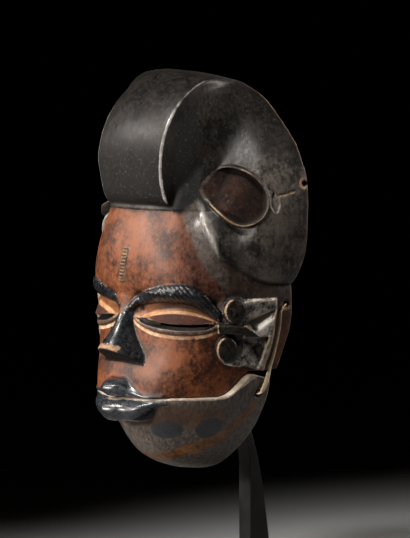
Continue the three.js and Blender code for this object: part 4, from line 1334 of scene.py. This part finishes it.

# %% [markdown]
# The mask is of a light hardwood, stained red-brown and blackened with soot in sap. The eye gets warm brown
# with dark blotches on the skin, a glossy blue-black on brow, nose and lips, a duller brown-black on the
# hair, and silver-grey wherever the black is thin from handling. On the curl's flank and ridge, the crest's
# edges and the ear's middle facet the pale is also painted highlight, and a few coats are painted shade and
# painted shadow. The coats are in the order they go on.

# %% Mask paint
MASK_COATS = (
    ("skin", 0.3, 0.6, "#2d140a", "#8a4e2c", 9, 0.5, 1.0, 0.15),
    # darker stain and painted shade where the forehead turns away from the lamps
    ("dusk", 1.5, 6.0, "#1f1110", "#55352c", 7, 0.36, 0.9, 0.2),
    ("bare_strip", 0.6, 1.2, "#301811", "#6b3f2b", 6, 0.6, 1.0, 0.5),
    ("temple", 1.0, 3.0, "#15100d", "#3f3029", 4, 0.5, 0.95, 0.2),
    # cream paint and a painted highlight under the lower lid
    ("under_lid", 0.35, 0.8, "#c98f66", "#f4d5b0", 4, 0.45, 0.85, 0.1),
    ("socket", 0.3, 1.5, "#6c3d24", "#9f683b", 6, 0.5, 0.8, 0.1),
    ("lid_rim", 0.3, 1.0, "#a06e45", "#cf9f73", 6, 0.5, 0.9, 0.1),
    ("ball", 0.2, 0.8, "#24100a", "#4c2316", 7, 0.85, 1.0, 0.1),
    ("lower_lid", 0.1, 0.5, "#3a2d26", "#7b6453", 5, 0.4, 1.0, 0.1),
    ("ear_plate", 0.2, 0.6, "#1c1b1a", "#f0eae0", 3.5, 0.38, 1.0, 0.3),
    # rubbed grey and a painted highlight on the ear's middle facet
    ("ear_facet", 0.3, 0.8, "#d0cbc3", "#fbf6ee", 4, 0.35, 0.95, 0.3),
    ("ear_black", 0.2, 0.6, "#0f0d0b", "#35302b", 2, 0.42, 1.0, 0.1),
    ("brow", 0.45, 0.6, "#0b0c0e", "#292b30", 2, 0.335, 1.0, 0.1),
    ("nose", 0.25, 0.5, "#0d0f12", "#2b2f34", 2.5, 0.30, 1.0, 0.1),
    ("lip", 0.3, 0.5, "#14161a", "#454a51", 3, 0.31, 1.0, 0.1),
    ("nose_chips", 1.1, 0.4, "#5e402d", "#c9a181", 1.5, 0.65, 0.85, 0.1),
    # black paint and painted shade under the nose
    ("nostrils", 0.2, 0.6, "#020202", "#060505", 3, 0.8, 1.0, 0.0),
    ("hairline", 0.4, 0.8, "#26211e", "#5d544d", 5, 0.4, 1.0, 0.1),
    ("hair", 0.15, 0.6, "#0b0a09", "#2b2724", 8, 0.45, 1.0, 0.7),
    ("curl", 1.0, 6.0, "#24211f", "#787069", 7, 0.43, 0.8, 0.3),
    # silvery flank below the curl: rubbed black and painted highlight
    ("flank", 1.0, 4.5, "#46413d", "#716b65", 5, 0.34, 0.8, 0.3),
    # painted shadow beside and under the crest
    ("corner", 0.5, 2.5, "#060505", "#12100f", 4, 0.8, 1.0, 0.1),
    # painted highlight along the curl's ridge, with some rubbing
    ("ridge", 0.6, 5.0, "#a19c96", "#d8d4ce", 4, 0.30, 0.8, 0.3),
    # painted shade on the foot of the crest
    ("crest_foot", 0.8, 12.0, "#040303", "#100e0d", 6, 0.85, 0.95, 0.4),
    ("dish", 0.2, 1.0, "#0e0604", "#3c2116", 3, 0.95, 1.0, 0.2),
    ("rim", 0.3, 0.7, "#2f2722", "#65574b", 3, 0.42, 0.85, 0.1),
    # worn paint and painted highlight on the crest's sharp edges
    ("crest_edge", 0.25, 0.6, "#a39d95", "#efece6", 4, 0.3, 0.9, 0.1),
    ("scratches", 0.15, 0.5, "#5f574f", "#a79e93", 2, 0.5, 0.7, 0.1),
    ("scar", 0.1, 0.4, "#5a4030", "#8f6d50", 2, 0.5, 1.0, 0.1),
    ("scar_notch", 0.1, 0.4, "#17100c", "#2b1e16", 2, 0.6, 1.0, 0.1),
    ("flake", 0.15, 0.4, "#6d665f", "#a39b91", 3, 0.5, 1.0, 0.1),
    ("broken", 0.35, 0.4, "#8a6a48", "#cfb088", 2, 0.75, 0.9, 0.1),
    # painted shade on the walls of the eye slits
    ("slit", 0.05, 0.3, "#020202", "#060504", 3, 0.7, 1.0, 0.0),
    ("inside", 0.3, 0.8, "#3d2b20", "#6b4e39", 9, 0.7, 1.0, 0.5),
)
BARE_MASK_WOOD = ("#6b4a33", "#b08a60", 0.6)
RUBBED_MASK_EDGE = ("#a58a6c", 0.75, 1.5)
mask.data.materials.append(painted_wood("stained_and_sooted_carving_wood", BARE_MASK_WOOD, MASK_COATS,
                                        RUBBED_MASK_EDGE, 0.12))
print("coats on the mask", len(MASK_COATS))

# %% [markdown]
# The jaw is the same wood under one thin coat of grey earth paint, so the brown shows through it. Its lip is
# as black and glossy as the upper one, and its top edge is rubbed to dry pale wood where it meets the cheek.

# %% Jaw paint
JAW_COATS = (
    ("brown_side", 1.5, 4.0, "#46301f", "#75543c", 8, 0.45, 0.8, 0.2),
    ("brown_band", 1.2, 2.0, "#573a22", "#a06c42", 5, 0.45, 1.0, 0.2),
    ("oval", 0.4, 1.2, "#2e3237", "#42474d", 5, 0.42, 0.95, 0.1),
    # painted highlight along the jaw's bottom edge
    ("under", 0.8, 2.0, "#4f4a46", "#8a847d", 4, 0.5, 0.6, 0.2),
    ("lip", 0.3, 0.5, "#14161a", "#454a51", 3, 0.31, 1.0, 0.1),
    ("top_line", 0.3, 0.4, "#a59484", "#ddd0c0", 3, 0.6, 1.0, 0.1),
    ("inside", 0.3, 0.8, "#3d2b20", "#6b4e39", 9, 0.7, 1.0, 0.5),
)
GREY_OVER_WOOD = ("#4b4441", "#7b7269", 0.42)
RUBBED_JAW_EDGE = ("#8d7d6b", 0.9, 1.6)
jaw.data.materials.append(painted_wood("thin_grey_over_brown_wood", GREY_OVER_WOOD, JAW_COATS,
                                       RUBBED_JAW_EDGE, 0.1))
print("coats on the jaw", len(JAW_COATS))

# %% [markdown]
# Split cane is the pale hard skin of a palm stem. Its fibres run along the strip, a quarter of a millimetre
# apart; they are drawn twice as wide, or they would not show. Dry and unvarnished, it is matt and among the
# palest things on the mask, with a few brown stains.

# %% Cane
FIBRE_WIDE, FIBRE_LONG, STAIN_MM = 0.45, 6.3, 5.0


def split_cane():
    material, tree = fresh_material("split_cane_dry")
    spot = add(tree, SPOT, out="Object")
    upright = add(tree, STRETCH, {0: spot, 1: (1, 1, FIBRE_WIDE / FIBRE_LONG)}, operation="MULTIPLY")
    fibres = add(tree, NOISE, {"Vector": upright, "Scale": patches_of(FIBRE_WIDE), "Detail": 3.0,
                               "Roughness": 0.6})
    stains = add(tree, NOISE, {"Vector": spot, "Scale": patches_of(STAIN_MM), "Detail": 3.0,
                               "Roughness": 0.6})
    striped = add(tree, RANGE, {0: fibres, 1: 0.35, 2: 0.65}, **SOFT_STEP)
    stained = add(tree, RANGE, {0: stains, 1: 0.5, 2: 0.75, 4: 0.4}, **SOFT_STEP)
    colour = add(tree, MIX, {0: striped, 6: linear("#d8c298"), 7: linear("#fbeccb")}, **COLOURS)
    colour = add(tree, MIX, {0: stained, 6: colour, 7: linear("#b0905f")}, **COLOURS)
    bump = add(tree, BUMP, {"Height": fibres, "Strength": 1.0, "Distance": 0.15 * MM})
    shader = add(tree, SHADER, {"Base Color": colour, "Roughness": 0.6, "Normal": bump, "IOR": 1.5})
    add(tree, OUTPUT, {"Surface": shader})
    return material


cane = split_cane()
for name in ("left", "right"):
    bpy.data.objects[f"cane_tie_{name}"].data.materials.append(cane)
print("fibres drawn mm", FIBRE_WIDE, "by", FIBRE_LONG)

# %% [markdown]
# The stand is mild steel under black lacquer, so its surface isn't metal but a smooth satin film with a
# slight orange peel, a little greyer and duller in patches where it has been handled.

# %% Black steel
PEEL_MM, RUB_MM = 0.8, 12.0


def blackened_steel():
    material, tree = fresh_material("black_lacquered_steel")
    spot = add(tree, SPOT, out="Object")
    peel = add(tree, NOISE, {"Vector": spot, "Scale": patches_of(PEEL_MM), "Detail": 2.0, "Roughness": 0.5})
    rubs = add(tree, NOISE, {"Vector": spot, "Scale": patches_of(RUB_MM), "Detail": 4.0, "Roughness": 0.6})
    greyer = add(tree, RANGE, {0: rubs, 1: 0.4, 2: 0.7}, **SOFT_STEP)
    colour = add(tree, MIX, {0: greyer, 6: linear("#141415"), 7: linear("#232325")}, **COLOURS)
    gloss = add(tree, RANGE, {0: rubs, 1: 0.3, 2: 0.7, 3: 0.34, 4: 0.46}, **SOFT_STEP)
    bump = add(tree, BUMP, {"Height": peel, "Strength": 1.0, "Distance": 0.02 * MM})
    shader = add(tree, SHADER, {"Base Color": colour, "Roughness": gloss, "Normal": bump, "IOR": 1.5})
    add(tree, OUTPUT, {"Surface": shader})
    return material


steel = blackened_steel()
for piece in (post, plate):
    piece.data.materials.append(steel)
print("lacquered pieces", post.name, plate.name)

# %% [markdown]
# The piece stands on a wide sheet of pale matt paper. It is only something to stand on, so the export leaves
# it out. The paper's colour is flat, and its roughness is that of uncoated stock.

# %% Paper floor
def studio_floor(half=9.0):
    mesh = bpy.data.meshes.new("table_top")
    corners = [(-half, -half, 0), (half, -half, 0), (half, half, 0), (-half, half, 0)]
    mesh.from_pydata(corners, [], [(0, 1, 2, 3)])
    floor = bpy.data.objects.new("table_top", mesh)
    bpy.context.scene.collection.objects.link(floor)
    material, tree = fresh_material("pale_matt_paper")
    shader = add(tree, SHADER, {"Base Color": linear("#b9bbbd"), "Roughness": 0.85})
    add(tree, OUTPUT, {"Surface": shader})
    mesh.materials.append(material)
    return floor


print("floor", studio_floor().name)

# %% [markdown]
# The room is dark and the lamps are soft and narrow, so the paper fades to black behind the mask and the
# black paint is drawn by its highlights. The key lamp stands to the mask's right, where nose and lips mirror
# it. One lamp each is for the crest and the face, one comes from above, and two from behind light the rear
# edge and the back.

# %% Lights
def soft_light(name, azimuth, elevation, distance, radius, beam, watts, colour, aim):
    """A soft lamp aimed at a height in metres on the mask. Azimuth 0 is straight in front of the face, the
    distance and the lamp's radius are metres, and its beam is degrees wide."""
    light = bpy.data.lights.new(name, "SPOT")
    light.shadow_soft_size = radius
    light.spot_size, light.spot_blend = radians(beam), 1.0
    light.energy = watts
    light.color = linear(colour)[:3]
    lamp = bpy.data.objects.new(name, light)
    bpy.context.scene.collection.objects.link(lamp)
    a, e = radians(azimuth), radians(elevation)
    way = Vector((sin(a) * cos(e), -cos(a) * cos(e), sin(e)))
    lamp.location = Vector((0, -0.02, aim)) + way * distance
    lamp.rotation_mode = "QUATERNION"
    lamp.rotation_quaternion = way.to_track_quat("Z", "Y")


soft_light("key_lamp", -38, 25, 1.1, 0.24, 15, 175, "#fff8f0", 0.125)
soft_light("crest_lamp", -48, 9, 1.1, 0.2, 13, 12, "#fff8f4", 0.315)
soft_light("face_lamp", 0, 13, 1.2, 0.08, 17, 42, "#fff6ee", 0.185)
soft_light("top_lamp", 4, 50, 1.1, 0.12, 19, 50, "#fffaf4", 0.22)
soft_light("edge_lamp", 150, 26, 1.1, 0.2, 20, 52, "#fff3ea", 0.24)
soft_light("rear_lamp", 200, 10, 1.3, 0.2, 22, 65, "#fff6ee", 0.28)

world = bpy.data.worlds.new("dark_studio")
bpy.context.scene.world = world
world.use_nodes = True
world.node_tree.nodes["Background"].inputs["Color"].default_value = linear("#000000")
world.node_tree.nodes["Background"].inputs["Strength"].default_value = 1.0
bpy.context.scene.view_settings.view_transform = "Standard"
print("lamps", len(bpy.data.lights))
